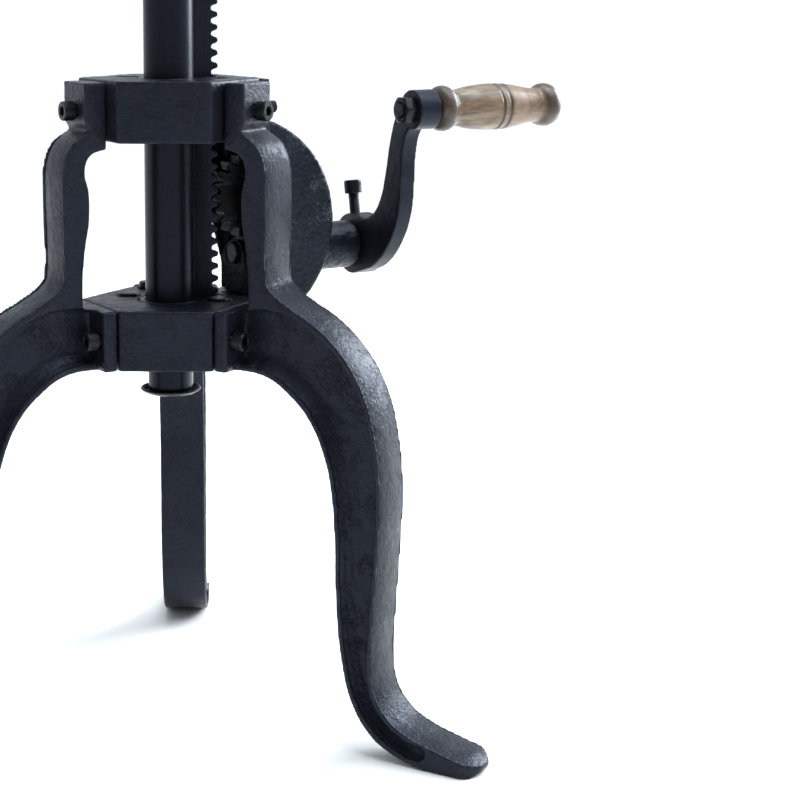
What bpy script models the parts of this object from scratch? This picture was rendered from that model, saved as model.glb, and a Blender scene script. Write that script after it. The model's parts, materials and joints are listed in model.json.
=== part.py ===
"""Crank-raised cast iron pedestal: three legs, two collars, a rack on a round post,
a worm and gear in a half-round housing, and a crank with a turned wooden handle.

Metres, +Z up, the feet stand on z = 0.  The post's own axis is the empty column_axis.
"""
from math import atan2, cos, hypot, pi, radians, sin, sqrt, tan

import bmesh
import bpy
from mathutils import Matrix, Vector

# ---------------------------------------------------------------- driving dimensions
GAP = 0.0003                    # gap kept between parts that touch

# collars: two hexagonal castings, legs and housing on alternate flats
COLLAR_APOTHEM = 0.0537
COLLAR_HEIGHT = 0.042
LOWER_COLLAR_Z = 0.2504         # underside
UPPER_COLLAR_Z = 0.4020
COLLAR_EDGE = 0.002
BUSH_RADIUS = 0.021
RACK_SLOT_HALF_WIDTH = 0.0075
RACK_SLOT_REACH = 0.0385

# legs
LEG_AZIMUTHS = {"leg_front_right": -30, "leg_back": 90, "leg_front_left": 210}
LEG_WIDTH = 0.035
WEB_THICKNESS = 0.010
PAD_THICKNESS = 0.011
FOOT_REACH = 0.243
BLOCK_FACE = 0.0705             # outer face of the arm's block at the upper collar

# cap screws
M8_RADIUS = 0.004
M8_HEAD_RADIUS = 0.0065
M8_HEAD_HEIGHT = 0.008
M8_HOLE_RADIUS = 0.0044
SET_HEAD_RADIUS = 0.0062
SET_HEAD_HEIGHT = 0.0095
LOWER_BOLT_OFFSET = 0.020
M5_RADIUS = 0.0025
M5_HEAD_RADIUS = 0.0041
M5_HEAD_HEIGHT = 0.005
M5_HOLE_RADIUS = 0.0029

# column
TUBE_RADIUS = 0.017
TUBE_BORE_RADIUS = 0.014
TUBE_FLAT = 0.0155              # distance of the rack's flat from the axis
TUBE_BOTTOM = 0.252
TUBE_TOP = 0.688
RACK_WIDTH = 0.012
RACK_BACK = TUBE_FLAT + GAP
PLUG_RADIUS = 0.0155
PLUG_BOTTOM = 0.2278
STOP_WASHER_RADIUS = 0.0211
STOP_WASHER_THICKNESS = 0.0018
STOP_HEAD_RADIUS = 0.0088
STOP_HEAD_CLEARANCE = 0.0004
STOP_SCREW_LENGTH = 0.034
STOP_PLUG_TOP = 0.272
TOP_HUB_BOTTOM = 0.650
TOP_HUB_RADIUS = 0.026
TOP_FLANGE_RADIUS = 0.050
TOP_PLATE_RADIUS = 0.080
TOP_PLATE_THICKNESS = 0.008

# gear train: rack, gear and worm share one tooth pitch
DRIVE_AZIMUTH = 30
MODULE = 0.00275
GEAR_TEETH = 20
PITCH = pi * MODULE
GEAR_RADIUS = MODULE * GEAR_TEETH / 2
RACK_PITCH_LINE = 0.03305
WORM_RADIUS = 0.0125
SHAFT_Z = 0.320
GEAR_Z = SHAFT_Z + WORM_RADIUS + GEAR_RADIUS
GEAR_REACH = RACK_PITCH_LINE + GEAR_RADIUS
GEAR_WIDTH = 0.012
AXLE_RADIUS = 0.0058
RACK_TEETH_BELOW = 10
RACK_TEETH_ABOVE = 30

# crank shaft and worm, as distances from the post's axis
SHAFT_RADIUS = 0.007
WORM_START = 0.0545
WORM_END = 0.0765
WORM_HUB_END = 0.087
SHAFT_START = 0.048
THRUST_COLLAR = (0.0910, 0.1000)

# half-round housing
HOUSING_CENTRE = 0.0434
HOUSING_Z = 0.3416
HOUSING_RADIUS = 0.0759
HOUSING_WALL = 0.006
HOUSING_HALF_WIDTH = 0.0222
HOUSING_START = COLLAR_APOTHEM + GAP
HOUSING_PAD = 0.008
CHEEK_INNER, CHEEK_OUTER = 0.0184, 0.0220       # the far cheek's faces, sideways from the gear
BEARING_START, BEARING_END = 0.0490, 0.0534
BEARING_RADIUS = 0.0178
BEARING_TOP = 0.3293
HOUSING_BOLT_OFFSET = 0.0268
HOUSING_BOLT_DROP = {LOWER_COLLAR_Z: 0.0115, UPPER_COLLAR_Z: 0.0}    # below mid-height
SLEEVE_RADIUS = 0.018
SLEEVE_END = 0.1452
SLEEVE_BORE = 0.0102

# crank, in the plane across its shaft: up and sideways from the shaft
CRANK_FACE = SLEEVE_END + 0.0005
CRANK_THICKNESS = 0.012
CRANK_HUB_RADIUS = 0.022
CRANK_HUB_LENGTH = 0.017
CRANK_BOSS_RADIUS = 0.0138
CRANK_BOSS_LENGTH = 0.0173
HANDLE_UP = 0.101
HANDLE_SIDE = 0.076
HANDLE_START = CRANK_FACE + CRANK_BOSS_LENGTH + 0.0018
HANDLE_LENGTH = 0.1015
HANDLE_BOLT_RADIUS = 0.005
HANDLE_BEAD_RADIUS = 0.0160

# the column's place: the whole object's box is centred on x = y = 0
DRIVE = Vector((cos(radians(DRIVE_AZIMUTH)), sin(radians(DRIVE_AZIMUTH)), 0))
SIDE = Vector((DRIVE.y, -DRIVE.x, 0))
HANDLE_TIP = (HANDLE_START + HANDLE_LENGTH) * DRIVE + HANDLE_SIDE * SIDE
REACH_X = HANDLE_TIP.x + 0.5 * HANDLE_BEAD_RADIUS * abs(SIDE.x)
TOE_X = (FOOT_REACH - LEG_WIDTH / 4) * cos(radians(30)) + LEG_WIDTH / 4
TOE_Y = (FOOT_REACH - LEG_WIDTH / 4) * 0.5 + LEG_WIDTH / 2 * cos(radians(30))
AXIS_X = (TOE_X - REACH_X) / 2
AXIS_Y = (TOE_Y - FOOT_REACH) / 2

CAST_BLACK = ("cast_black", (0.020, 0.023, 0.030), 0.55, 0.3)
STEEL_BLACK = ("steel_black", (0.022, 0.024, 0.030), 0.40, 0.6)
GREASED_STEEL = ("greased_steel", (0.050, 0.050, 0.052), 0.35, 0.9)
BRONZE = ("bronze", (0.30, 0.20, 0.09), 0.40, 0.9)
BURNT_WOOD = ("burnt_wood", (0.30, 0.18, 0.09), 0.45, 0.0)


# ---------------------------------------------------------------- helpers
def clear_scene():
    for obj in list(bpy.data.objects):
        bpy.data.objects.remove(obj, do_unlink=True)


def collection(name):
    made = bpy.data.collections.new(name)
    bpy.context.scene.collection.children.link(made)
    return made


def material(kind):
    name, colour, roughness, metallic = kind
    made = bpy.data.materials.new(name)
    made.use_nodes = True
    shader = made.node_tree.nodes["Principled BSDF"]
    shader.inputs["Base Color"].default_value = (*colour, 1)
    shader.inputs["Roughness"].default_value = roughness
    shader.inputs["Metallic"].default_value = metallic
    return made


def empty(name, parent=None, matrix=Matrix()):
    made = bpy.data.objects.new(name, None)
    PARTS.objects.link(made)
    made.parent = parent
    made.matrix_local = matrix
    return made


def finish(obj, name, parent, kind):
    """Name a finished piece, hang it on an empty and give it its material."""
    obj.name = name
    obj.parent = parent
    for old in list(obj.users_collection):
        old.objects.unlink(obj)
    PARTS.objects.link(obj)
    obj.data.materials.clear()
    obj.data.materials.append(material(kind))
    obj.data.shade_smooth()
    obj.data.set_sharp_from_angle(angle=radians(35))


def mesh_object(bm, matrix=Matrix()):
    bmesh.ops.recalc_face_normals(bm, faces=bm.faces)
    mesh = bpy.data.meshes.new("mesh")
    bm.to_mesh(mesh)
    bm.free()
    mesh.transform(matrix)
    obj = bpy.data.objects.new("piece", mesh)
    bpy.context.scene.collection.objects.link(obj)
    return obj


def box(low, high, matrix=Matrix()):
    low, high = Vector(low), Vector(high)
    bm = bmesh.new()
    bmesh.ops.create_cube(bm, size=1)
    bmesh.ops.scale(bm, vec=high - low, verts=bm.verts)
    bmesh.ops.translate(bm, vec=(low + high) / 2, verts=bm.verts)
    return mesh_object(bm, matrix)


def cylinder(radius, start, end, matrix=Matrix(), at=(0, 0), sides=32):
    """A round bar along local Z from start to end."""
    bm = bmesh.new()
    bmesh.ops.create_cone(bm, cap_ends=True, segments=sides, radius1=radius,
                          radius2=radius, depth=end - start)
    bmesh.ops.translate(bm, vec=(at[0], at[1], (start + end) / 2), verts=bm.verts)
    return mesh_object(bm, matrix)


def to_mesh(obj, matrix=Matrix()):
    """Evaluate a curve or a modified mesh into a plain welded mesh object."""
    bpy.context.view_layer.update()
    graph = bpy.context.evaluated_depsgraph_get()
    mesh = bpy.data.meshes.new_from_object(obj.evaluated_get(graph))
    bm = bmesh.new()
    bm.from_mesh(mesh)
    bmesh.ops.remove_doubles(bm, verts=bm.verts, dist=1e-6)
    bpy.data.objects.remove(obj)
    return mesh_object(bm, matrix)


def plate(points, thickness, matrix=Matrix(), resolution=5):
    """A flat outline in local XY, centred on z = 0.  A point is (x, y) for a corner
    or (x, y, "smooth") for a point that the edge flows through."""
    curve = bpy.data.curves.new("outline", "CURVE")
    curve.dimensions = "2D"
    curve.fill_mode = "BOTH"
    curve.extrude = thickness / 2
    curve.resolution_u = resolution
    curve.render_resolution_u = 0
    spline = curve.splines.new("BEZIER")
    spline.bezier_points.add(len(points) - 1)
    for knot, point in zip(spline.bezier_points, points):
        kind = "AUTO" if len(point) == 3 else "VECTOR"
        knot.co = (point[0], point[1], 0)
        knot.handle_left_type = kind
        knot.handle_right_type = kind
    spline.use_cyclic_u = True
    obj = bpy.data.objects.new("outline", curve)
    bpy.context.scene.collection.objects.link(obj)
    return to_mesh(obj, matrix)


def polygon(points, thickness, matrix=Matrix()):
    """A flat outline of straight edges in local XY, centred on z = 0."""
    curve = bpy.data.curves.new("outline", "CURVE")
    curve.dimensions = "2D"
    curve.fill_mode = "BOTH"
    curve.extrude = thickness / 2
    spline = curve.splines.new("POLY")
    spline.points.add(len(points) - 1)
    for knot, point in zip(spline.points, points):
        knot.co = (point[0], point[1], 0, 1)
    spline.use_cyclic_u = True
    obj = bpy.data.objects.new("outline", curve)
    bpy.context.scene.collection.objects.link(obj)
    return to_mesh(obj, matrix)


def lathe(profile, matrix=Matrix(), steps=32):
    """Turn a closed (radius, height) loop about local Z; it runs down its outer side."""
    bm = bmesh.new()
    verts = [bm.verts.new((radius, 0, height)) for radius, height in profile]
    closed = min(radius for radius, height in profile) > 0
    for first, second in zip(verts, verts[1:] + verts[:1] if closed else verts[1:]):
        bm.edges.new((first, second))
    mesh = bpy.data.meshes.new("profile")
    bm.to_mesh(mesh)
    bm.free()
    obj = bpy.data.objects.new("turned", mesh)
    bpy.context.scene.collection.objects.link(obj)
    screw = obj.modifiers.new("turn", "SCREW")
    screw.axis = "Z"
    screw.steps = steps
    screw.render_steps = steps
    screw.use_merge_vertices = True
    screw.merge_threshold = 0.00001
    return to_mesh(obj, matrix)


def combine(obj, others, operation="DIFFERENCE"):
    """Apply a Boolean with each of the others, and remove them."""
    for other in others:
        cut = obj.modifiers.new("cut", "BOOLEAN")
        cut.operation = operation
        cut.solver = "EXACT"
        cut.object = other
        done = to_mesh(obj)
        bpy.data.objects.remove(other)
        obj = done
    return obj


def bevel(obj, width, segments=1, angle=40):
    edge = obj.modifiers.new("bevel", "BEVEL")
    edge.width = width
    edge.segments = segments
    edge.limit_method = "ANGLE"
    edge.angle_limit = radians(angle)
    return obj


def turn_z(degrees):
    return Matrix.Rotation(radians(degrees), 4, "Z")


def axes(x, y, z, origin=(0, 0, 0)):
    """The matrix whose columns are the given axes and origin."""
    matrix = Matrix.Identity(4)
    for column, axis in enumerate((x, y, z, Vector(origin))):
        for row in range(3):
            matrix[row][column] = axis[row]
    return matrix


X, Y, Z = Vector((1, 0, 0)), Vector((0, 1, 0)), Vector((0, 0, 1))
UPRIGHT = axes(X, Z, -Y)        # local XY drawn in the upright radial plane
RADIAL = axes(Z, -Y, X)         # local Z points outwards along the radius


def cap_screw(name, parent, matrix, radius, head_radius, head_height, length):
    """Socket head cap screw: the head's seat at local z = 0, the head above, a hex socket."""
    socket = head_radius * 0.55
    shank = cylinder(radius, -length, 0.0002, sides=10)
    head = cylinder(head_radius, 0, head_height, sides=16)
    hexagon = cylinder(socket, head_height * 0.45, head_height * 1.2, sides=6)
    screw = combine(combine(shank, [head], "UNION"), [hexagon])
    screw.data.transform(matrix)
    finish(screw, name, parent, STEEL_BLACK)


# ---------------------------------------------------------------- base castings
def leg_outline():
    """The leg's side view as (radius, height): block, arm, S-curve, foot, pad."""
    smooth = "smooth"
    flat = COLLAR_APOTHEM + GAP
    block_top = UPPER_COLLAR_Z + COLLAR_HEIGHT - 0.0015
    pad_top = LOWER_COLLAR_Z + COLLAR_HEIGHT
    return [
        (flat, block_top), (BLOCK_FACE, block_top), (BLOCK_FACE, 0.4155), (0.0665, 0.4095),
        (0.0725, 0.4078, smooth), (0.0787, 0.4039, smooth), (0.0845, 0.3956, smooth),
        (0.0873, 0.3850, smooth), (0.0878, 0.3700, smooth), (0.0874, 0.3400, smooth),
        (0.0874, 0.3170, smooth), (0.0888, 0.3095, smooth), (0.0940, 0.3045, smooth),
        (0.1040, 0.2985, smooth), (0.1250, 0.2870, smooth), (0.1460, 0.2680, smooth),
        (0.1610, 0.2440, smooth), (0.1700, 0.2120, smooth), (0.1732, 0.1800, smooth),
        (0.1718, 0.1350, smooth), (0.1692, 0.0920, smooth), (0.1680, 0.0620, smooth),
        (0.1715, 0.0430, smooth), (0.1815, 0.0295, smooth), (0.1980, 0.0210, smooth),
        (0.2200, 0.0150, smooth), (0.2380, 0.0098, smooth), (FOOT_REACH, 0.0050, smooth),
        (0.2385, 0.0000), (0.2040, 0.0000),
        (0.1850, 0.0045, smooth), (0.1660, 0.0150, smooth), (0.1520, 0.0350, smooth),
        (0.1442, 0.0620, smooth), (0.1395, 0.1050, smooth), (0.1380, 0.1470, smooth),
        (0.1356, 0.1750, smooth), (0.1310, 0.1965, smooth), (0.1190, 0.2220, smooth),
        (0.1040, 0.2375, smooth), (0.0860, 0.2480, smooth),
        (0.0650, LOWER_COLLAR_Z), (flat, LOWER_COLLAR_Z),
        (flat, pad_top), (0.0725, pad_top),
        (0.0720, 0.3140, smooth), (0.0700, 0.3330, smooth), (0.0668, 0.3520, smooth),
        (0.0668, 0.3700, smooth), (0.0695, 0.3850, smooth), (0.0655, 0.3940, smooth),
        (flat, 0.3975),
    ]


def pocket_outline():
    """The recess on each side of the leg's web, inside its rims."""
    smooth = "smooth"
    start = COLLAR_APOTHEM + PAD_THICKNESS - 0.004
    return [
        (start, 0.2900), (0.0760, 0.2925, smooth), (0.0900, 0.2930, smooth),
        (0.1040, 0.2895, smooth), (0.1215, 0.2810, smooth), (0.1415, 0.2640, smooth),
        (0.1560, 0.2415, smooth), (0.1650, 0.2110, smooth), (0.1682, 0.1800, smooth),
        (0.1668, 0.1350, smooth), (0.1642, 0.0920, smooth), (0.1630, 0.0600, smooth),
        (0.1668, 0.0400, smooth), (0.1780, 0.0250, smooth), (0.1930, 0.0168, smooth),
        (0.2060, 0.0118, smooth), (0.2030, 0.0075, smooth),
        (0.1880, 0.0095, smooth), (0.1700, 0.0195, smooth), (0.1572, 0.0375, smooth),
        (0.1494, 0.0630, smooth), (0.1447, 0.1050, smooth), (0.1432, 0.1470, smooth),
        (0.1408, 0.1760, smooth), (0.1360, 0.1985, smooth), (0.1230, 0.2260, smooth),
        (0.1075, 0.2415, smooth), (0.0880, 0.2530, smooth), (start, 0.2565),
    ]


def make_leg(name, azimuth):
    station = empty(name + "_station", COLUMN, turn_z(azimuth))
    leg = plate(leg_outline(), LEG_WIDTH, UPRIGHT, 2)
    toe_radius = LEG_WIDTH / 2
    toe = [(0.03, toe_radius), (0.03, -toe_radius)]
    toe += [(FOOT_REACH + 0.0004 - toe_radius * 0.8 * (1 - sin(a)), toe_radius * -cos(a))
            for a in [radians(step * 22.5) for step in range(9)]]
    leg = combine(leg, [polygon(toe, 1.2)], "INTERSECT")
    depth = (LEG_WIDTH - WEB_THICKNESS) / 2
    for side in (1, -1):
        shift = Matrix.Translation((0, side * (LEG_WIDTH / 2), 0))
        leg = combine(leg, [plate(pocket_outline(), 2 * depth, shift @ UPRIGHT, 2)])
    half = COLLAR_APOTHEM * tan(radians(30))
    low = LOWER_COLLAR_Z
    pad = box((COLLAR_APOTHEM + GAP, -half, low + 0.0002),
              (COLLAR_APOTHEM + PAD_THICKNESS, half, low + COLLAR_HEIGHT - 0.0002))
    leg = combine(leg, [pad], "UNION")
    mid_low, mid_high = low + COLLAR_HEIGHT / 2, UPPER_COLLAR_Z + COLLAR_HEIGHT / 2
    seats = [(LOWER_BOLT_OFFSET, mid_low, COLLAR_APOTHEM + PAD_THICKNESS),
             (-LOWER_BOLT_OFFSET, mid_low, COLLAR_APOTHEM + PAD_THICKNESS),
             (0, mid_high, BLOCK_FACE)]
    for number, (offset, height, seat) in enumerate(seats):
        at = Matrix.Translation((0, offset, height)) @ RADIAL
        leg = combine(leg, [cylinder(M8_HOLE_RADIUS, 0.04, 0.11, at, sides=12)])
        level = ("lower_a", "lower_b", "upper")[number]
        seat_at = Matrix.Translation((seat + GAP, offset, height)) @ RADIAL
        cap_screw(f"{name}_bolt_{level}", station, seat_at, M8_RADIUS, M8_HEAD_RADIUS,
                  M8_HEAD_HEIGHT, 0.030)
    finish(leg, name, station, CAST_BLACK)


def hexagon_points(apothem):
    corner = apothem / cos(radians(30))
    return [(corner * cos(radians(a)), corner * sin(radians(a))) for a in range(0, 360, 60)]


def make_collar(name, bottom, recesses):
    collar = polygon(hexagon_points(COLLAR_APOTHEM), COLLAR_HEIGHT,
                     Matrix.Translation((0, 0, bottom + COLLAR_HEIGHT / 2)))
    collar = to_mesh(bevel(collar, COLLAR_EDGE, 2, 30))
    top = bottom + COLLAR_HEIGHT
    collar = combine(collar, [cylinder(BUSH_RADIUS + GAP, bottom - 0.01, top + 0.01, sides=28)])
    slot = box((0, -RACK_SLOT_HALF_WIDTH, bottom - 0.01),
               (RACK_SLOT_REACH, RACK_SLOT_HALF_WIDTH, top + 0.01), turn_z(DRIVE_AZIMUTH))
    collar = combine(collar, [slot])
    middle = bottom + COLLAR_HEIGHT / 2
    low = bottom == LOWER_COLLAR_Z
    for azimuth in LEG_AZIMUTHS.values():
        for offset in (LOWER_BOLT_OFFSET, -LOWER_BOLT_OFFSET) if low else (0,):
            at = turn_z(azimuth) @ Matrix.Translation((0, offset, middle)) @ RADIAL
            hole = cylinder(M8_HOLE_RADIUS, BLOCK_FACE - 0.034, 0.06, at, sides=12)
            if low:
                hole.data.transform(turn_z(azimuth) @ Matrix.Translation((-0.006, 0, 0))
                                    @ turn_z(-azimuth))
            collar = combine(collar, [hole])
    bolt_z = middle - HOUSING_BOLT_DROP[bottom]
    for offset in (HOUSING_BOLT_OFFSET, -HOUSING_BOLT_OFFSET):
        at = turn_z(DRIVE_AZIMUTH) @ Matrix.Translation((0, offset, bolt_z)) @ RADIAL
        collar = combine(collar, [cylinder(M5_HOLE_RADIUS, 0.038, 0.06, at, sides=10)])
    for x, y, radius, depth in recesses:
        collar = combine(collar, [cylinder(radius, top - depth, top + 0.01, at=(x, y), sides=20)])
    finish(collar, name, COLUMN, CAST_BLACK)


def make_bush(name, bottom):
    top = bottom + COLLAR_HEIGHT
    bush = lathe([(TUBE_RADIUS + GAP, bottom + 0.001), (TUBE_RADIUS + GAP, top - 0.001),
                  (BUSH_RADIUS, top - 0.001), (BUSH_RADIUS, bottom + 0.001)][::-1], steps=28)
    slot = box((0, -RACK_SLOT_HALF_WIDTH, bottom - 0.01),
               (RACK_SLOT_REACH, RACK_SLOT_HALF_WIDTH, top + 0.01), turn_z(DRIVE_AZIMUTH))
    finish(combine(bush, [slot]), name, COLUMN, BRONZE)


# round plugs on top of the collars: (x, y, radius, height above the face)
PLUGS = {"plug_right": (0.0335, -0.0050, 0.0074, 0.0012),
         "plug_left": (-0.0295, 0.0150, 0.0080, 0.0018),
         "plug_back": (-0.0190, 0.0455, 0.0062, 0.0045)}
PLUG_DEPTH = 0.003


def make_plugs():
    top = LOWER_COLLAR_Z + COLLAR_HEIGHT
    for name, (x, y, radius, height) in PLUGS.items():
        plug = cylinder(radius, top - PLUG_DEPTH + GAP, top + height, at=(x, y), sides=20)
        finish(plug, name, COLUMN, STEEL_BLACK)


# ---------------------------------------------------------------- half-round housing
def half_disc(radius, start):
    """Outline in (reach, height) of the disc's part beyond a straight side."""
    span = sqrt(radius ** 2 - (start - HOUSING_CENTRE) ** 2)
    limit = atan2(span, start - HOUSING_CENTRE)
    steps = 24
    angles = [limit - 2 * limit * step / steps for step in range(steps + 1)]
    return [(HOUSING_CENTRE + radius * cos(a), HOUSING_Z + radius * sin(a)) for a in angles]


def cheek_outline():
    """The far side's extension as (reach, height), between the collars towards the rack."""
    low, high = LOWER_COLLAR_Z + COLLAR_HEIGHT + 0.0026, UPPER_COLLAR_Z - 0.003
    smooth = "smooth"
    return [(0.0600, low), (0.0535, low), (0.0515, 0.3050, smooth), (0.0488, 0.3160, smooth),
            (0.0452, 0.3300, smooth), (0.0420, 0.3450, smooth), (0.0405, 0.3600, smooth),
            (0.0400, 0.3760, smooth), (0.0402, high), (0.0600, high)]


def make_worm_bearing():
    """Arched bracket that stands on the lower collar and carries the worm's inner end."""
    low, middle = LOWER_COLLAR_Z + COLLAR_HEIGHT + GAP, BEARING_TOP - BEARING_RADIUS
    arch = [(BEARING_RADIUS * cos(a), middle + BEARING_RADIUS * sin(a))
            for a in [radians(step * 15) for step in range(13)]]
    station = Matrix.Translation(((BEARING_START + BEARING_END) / 2, 0, 0)) @ axes(Y, Z, X)
    block = polygon([(BEARING_RADIUS, low)] + arch + [(-BEARING_RADIUS, low)],
                    BEARING_END - BEARING_START, station)
    block = combine(block, [cylinder(SHAFT_RADIUS + GAP, 0.04, 0.06, SHAFT_LOCAL, sides=20)])
    finish(block, "worm_bearing", HOUSING, CAST_BLACK)


def make_housing():
    shell = polygon(half_disc(HOUSING_RADIUS, HOUSING_START), 2 * HOUSING_HALF_WIDTH, UPRIGHT)
    shell = combine(shell, [cylinder(SLEEVE_RADIUS, 0.108, SLEEVE_END, SHAFT_LOCAL, sides=28)],
                    "UNION")
    lower, upper = LOWER_COLLAR_Z, UPPER_COLLAR_Z
    half = COLLAR_APOTHEM * tan(radians(30))
    for low, high in ((lower + 0.001, lower + COLLAR_HEIGHT - 0.001),
                      (upper + 0.001, upper + COLLAR_HEIGHT - 0.001)):
        pad = box((HOUSING_START, -half, low), (HOUSING_START + HOUSING_PAD, half, high))
        shell = combine(shell, [pad], "UNION")
    cheek_at = Matrix.Translation((0, (CHEEK_INNER + CHEEK_OUTER) / 2, 0)) @ UPRIGHT
    cheek = plate(cheek_outline(), CHEEK_OUTER - CHEEK_INNER, cheek_at, 2)
    shell = combine(shell, [cheek], "UNION")
    inner = HOUSING_RADIUS - HOUSING_WALL
    cavity = polygon(half_disc(inner, HOUSING_CENTRE + 0.0001),
                     2 * (HOUSING_HALF_WIDTH - HOUSING_WALL), UPRIGHT)
    keep_low, keep_high = lower + COLLAR_HEIGHT + 0.002, upper - 0.002
    cavity = combine(cavity, [box((0, -0.1, keep_low), (0.2, 0.1, keep_high))], "INTERSECT")
    shell = combine(shell, [cavity])
    shell = combine(shell, [cylinder(SLEEVE_BORE, 0.09, 0.17, SHAFT_LOCAL, sides=20)])
    axle = Matrix.Translation((GEAR_REACH, 0, GEAR_Z)) @ axes(X, Z, -Y)
    shell = combine(shell, [cylinder(AXLE_RADIUS + GAP, -0.04, 0.04, axle, sides=16)])
    seat = HOUSING_START + HOUSING_PAD + GAP
    for level, bottom in (("lower", lower), ("upper", upper)):
        bolt_z = bottom + COLLAR_HEIGHT / 2 - HOUSING_BOLT_DROP[bottom]
        for side, offset in (("a", HOUSING_BOLT_OFFSET), ("b", -HOUSING_BOLT_OFFSET)):
            at = Matrix.Translation((0, offset, bolt_z)) @ RADIAL
            shell = combine(shell, [cylinder(M5_HOLE_RADIUS, 0.05, 0.07, at, sides=10)])
            seat_at = Matrix.Translation((seat, offset, bolt_z)) @ RADIAL
            cap_screw(f"housing_bolt_{level}_{side}", HOUSING, seat_at, M5_RADIUS,
                      M5_HEAD_RADIUS, M5_HEAD_HEIGHT, 0.020)
    finish(shell, "gear_housing", HOUSING, CAST_BLACK)
    for name, start, end in (("sleeve_bush_inner", 0.1115, 0.1265),
                             ("sleeve_bush_outer", 0.1300, SLEEVE_END - 0.0005)):
        bush = lathe([(SHAFT_RADIUS + GAP, start), (SHAFT_RADIUS + GAP, end),
                      (SLEEVE_BORE - GAP, end), (SLEEVE_BORE - GAP, start)][::-1], steps=20)
        finish(bush, name, SHAFT, BRONZE)


# ---------------------------------------------------------------- gear train
def gear_outline():
    """Twenty straight-flanked teeth, thinned for backlash; one points towards the rack."""
    tip, root = GEAR_RADIUS + 0.9 * MODULE, GEAR_RADIUS - 1.2 * MODULE
    points = []
    for tooth in range(GEAR_TEETH):
        middle = pi + 2 * pi * tooth / GEAR_TEETH
        for radius, half in ((root, 0.0023), (GEAR_RADIUS, 0.00145), (tip, 0.0007)):
            points.append((radius, middle - half / radius))
        for radius, half in ((tip, 0.0007), (GEAR_RADIUS, 0.00145), (root, 0.0023)):
            points.append((radius, middle + half / radius))
    return [(radius * cos(angle), radius * sin(angle)) for radius, angle in points]


def make_gear():
    gear = polygon(gear_outline(), GEAR_WIDTH)
    hub = cylinder(0.011, -0.0155, 0.0155, sides=20)
    gear = combine(gear, [hub], "UNION")
    gear = combine(gear, [cylinder(AXLE_RADIUS + GAP, -0.03, 0.03, sides=16)])
    finish(gear, "lift_gear", GEAR, GREASED_STEEL)
    outer = HOUSING_HALF_WIDTH + GAP
    axle = cylinder(AXLE_RADIUS, -outer - 0.010, outer + 0.0005, sides=16)
    axle = combine(axle, [cylinder(0.009, outer, outer + 0.004, sides=20)], "UNION")
    finish(axle, "gear_axle", GEAR, STEEL_BLACK)
    nut = cylinder(0.0102, -outer - 0.0075, -outer, sides=6)
    nut = combine(nut, [cylinder(AXLE_RADIUS + GAP, -0.05, 0.0, sides=16)])
    finish(nut, "gear_axle_nut", GEAR, STEEL_BLACK)


def worm_thread():
    """A right-hand thread as a wrapped strip of profiles, longer than the worm."""
    sides, turns = 20, 6
    tip, root = WORM_RADIUS + 0.9 * MODULE, WORM_RADIUS - 1.15 * MODULE
    profile = ((-0.36, root), (-0.13, tip), (0.13, tip), (0.36, root))
    middle = GEAR_REACH + PITCH / 2
    bm = bmesh.new()
    rows = []
    for side in range(sides):
        angle = 2 * pi * side / sides
        row = []
        for turn in range(turns + (side == 0)):
            for phase, radius in profile:
                along = middle + PITCH * (turn - turns / 2 + phase + side / sides)
                row.append(bm.verts.new((radius * cos(angle), radius * sin(angle), along)))
        rows.append(row)
    step = len(profile)
    for side in range(sides):
        row = rows[side]
        following = rows[side + 1] if side + 1 < sides else rows[0][step:]
        for k in range(step * turns - 1):
            bm.faces.new((row[k], following[k], following[k + 1], row[k + 1]))
    start = [row[0] for row in rows] + rows[0][step:0:-1]
    end = [row[step * turns - 1] for row in rows] + rows[0][step * turns + step - 1:step * turns - 1:-1]
    for loop, along in ((start, middle - PITCH * (turns / 2 + 1)), (end, middle + PITCH * (turns / 2 + 2))):
        centre = bm.verts.new((0, 0, along))
        for first, second in zip(loop, loop[1:] + loop[:1]):
            bm.faces.new((first, second, centre))
    return mesh_object(bm)


def make_worm():
    blank = cylinder(0.02, WORM_START, WORM_END, sides=24)
    worm = combine(worm_thread(), [blank], "INTERSECT")
    worm = combine(worm, [cylinder(0.0105, WORM_END - 0.0005, WORM_HUB_END, sides=20)], "UNION")
    worm = combine(worm, [cylinder(SHAFT_RADIUS + GAP, 0.04, 0.1, sides=20)])
    pin_at = Matrix.Translation((0, 0, (WORM_END + WORM_HUB_END) / 2 + 0.0005)) @ axes(Y, Z, X)
    worm = combine(worm, [cylinder(0.0018, -0.02, 0.02, pin_at, sides=10)])
    finish(worm, "worm", SHAFT, GREASED_STEEL)
    pin = cylinder(0.0015, -0.0100, 0.0100, pin_at, sides=10)
    finish(pin, "worm_pin", SHAFT, STEEL_BLACK)
    shaft = cylinder(SHAFT_RADIUS, SHAFT_START, CRANK_FACE + CRANK_HUB_LENGTH + 0.001, sides=20)
    shaft = combine(shaft, [cylinder(0.0018, -0.02, 0.02, pin_at, sides=10)])
    finish(shaft, "crank_shaft", SHAFT, STEEL_BLACK)
    start, end = THRUST_COLLAR
    collar = lathe([(SHAFT_RADIUS + GAP, start), (SHAFT_RADIUS + GAP, end),
                    (0.0120, end), (0.0120, start)][::-1], steps=20)
    finish(collar, "thrust_collar", SHAFT, STEEL_BLACK)


# ---------------------------------------------------------------- crank
# the arm's middle line as (up, side, half width) from the hub to the handle's boss
ARM_LINE = ((0.0, 0.0, 0.0212), (0.0015, 0.0125, 0.0200), (0.0045, 0.0245, 0.0178),
            (0.0155, 0.0400, 0.0145), (0.0330, 0.0505, 0.0125), (0.0520, 0.0545, 0.0105),
            (0.0740, 0.0580, 0.0088), (0.0900, 0.0640, 0.0090), (0.0990, 0.0730, 0.0110))


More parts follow.
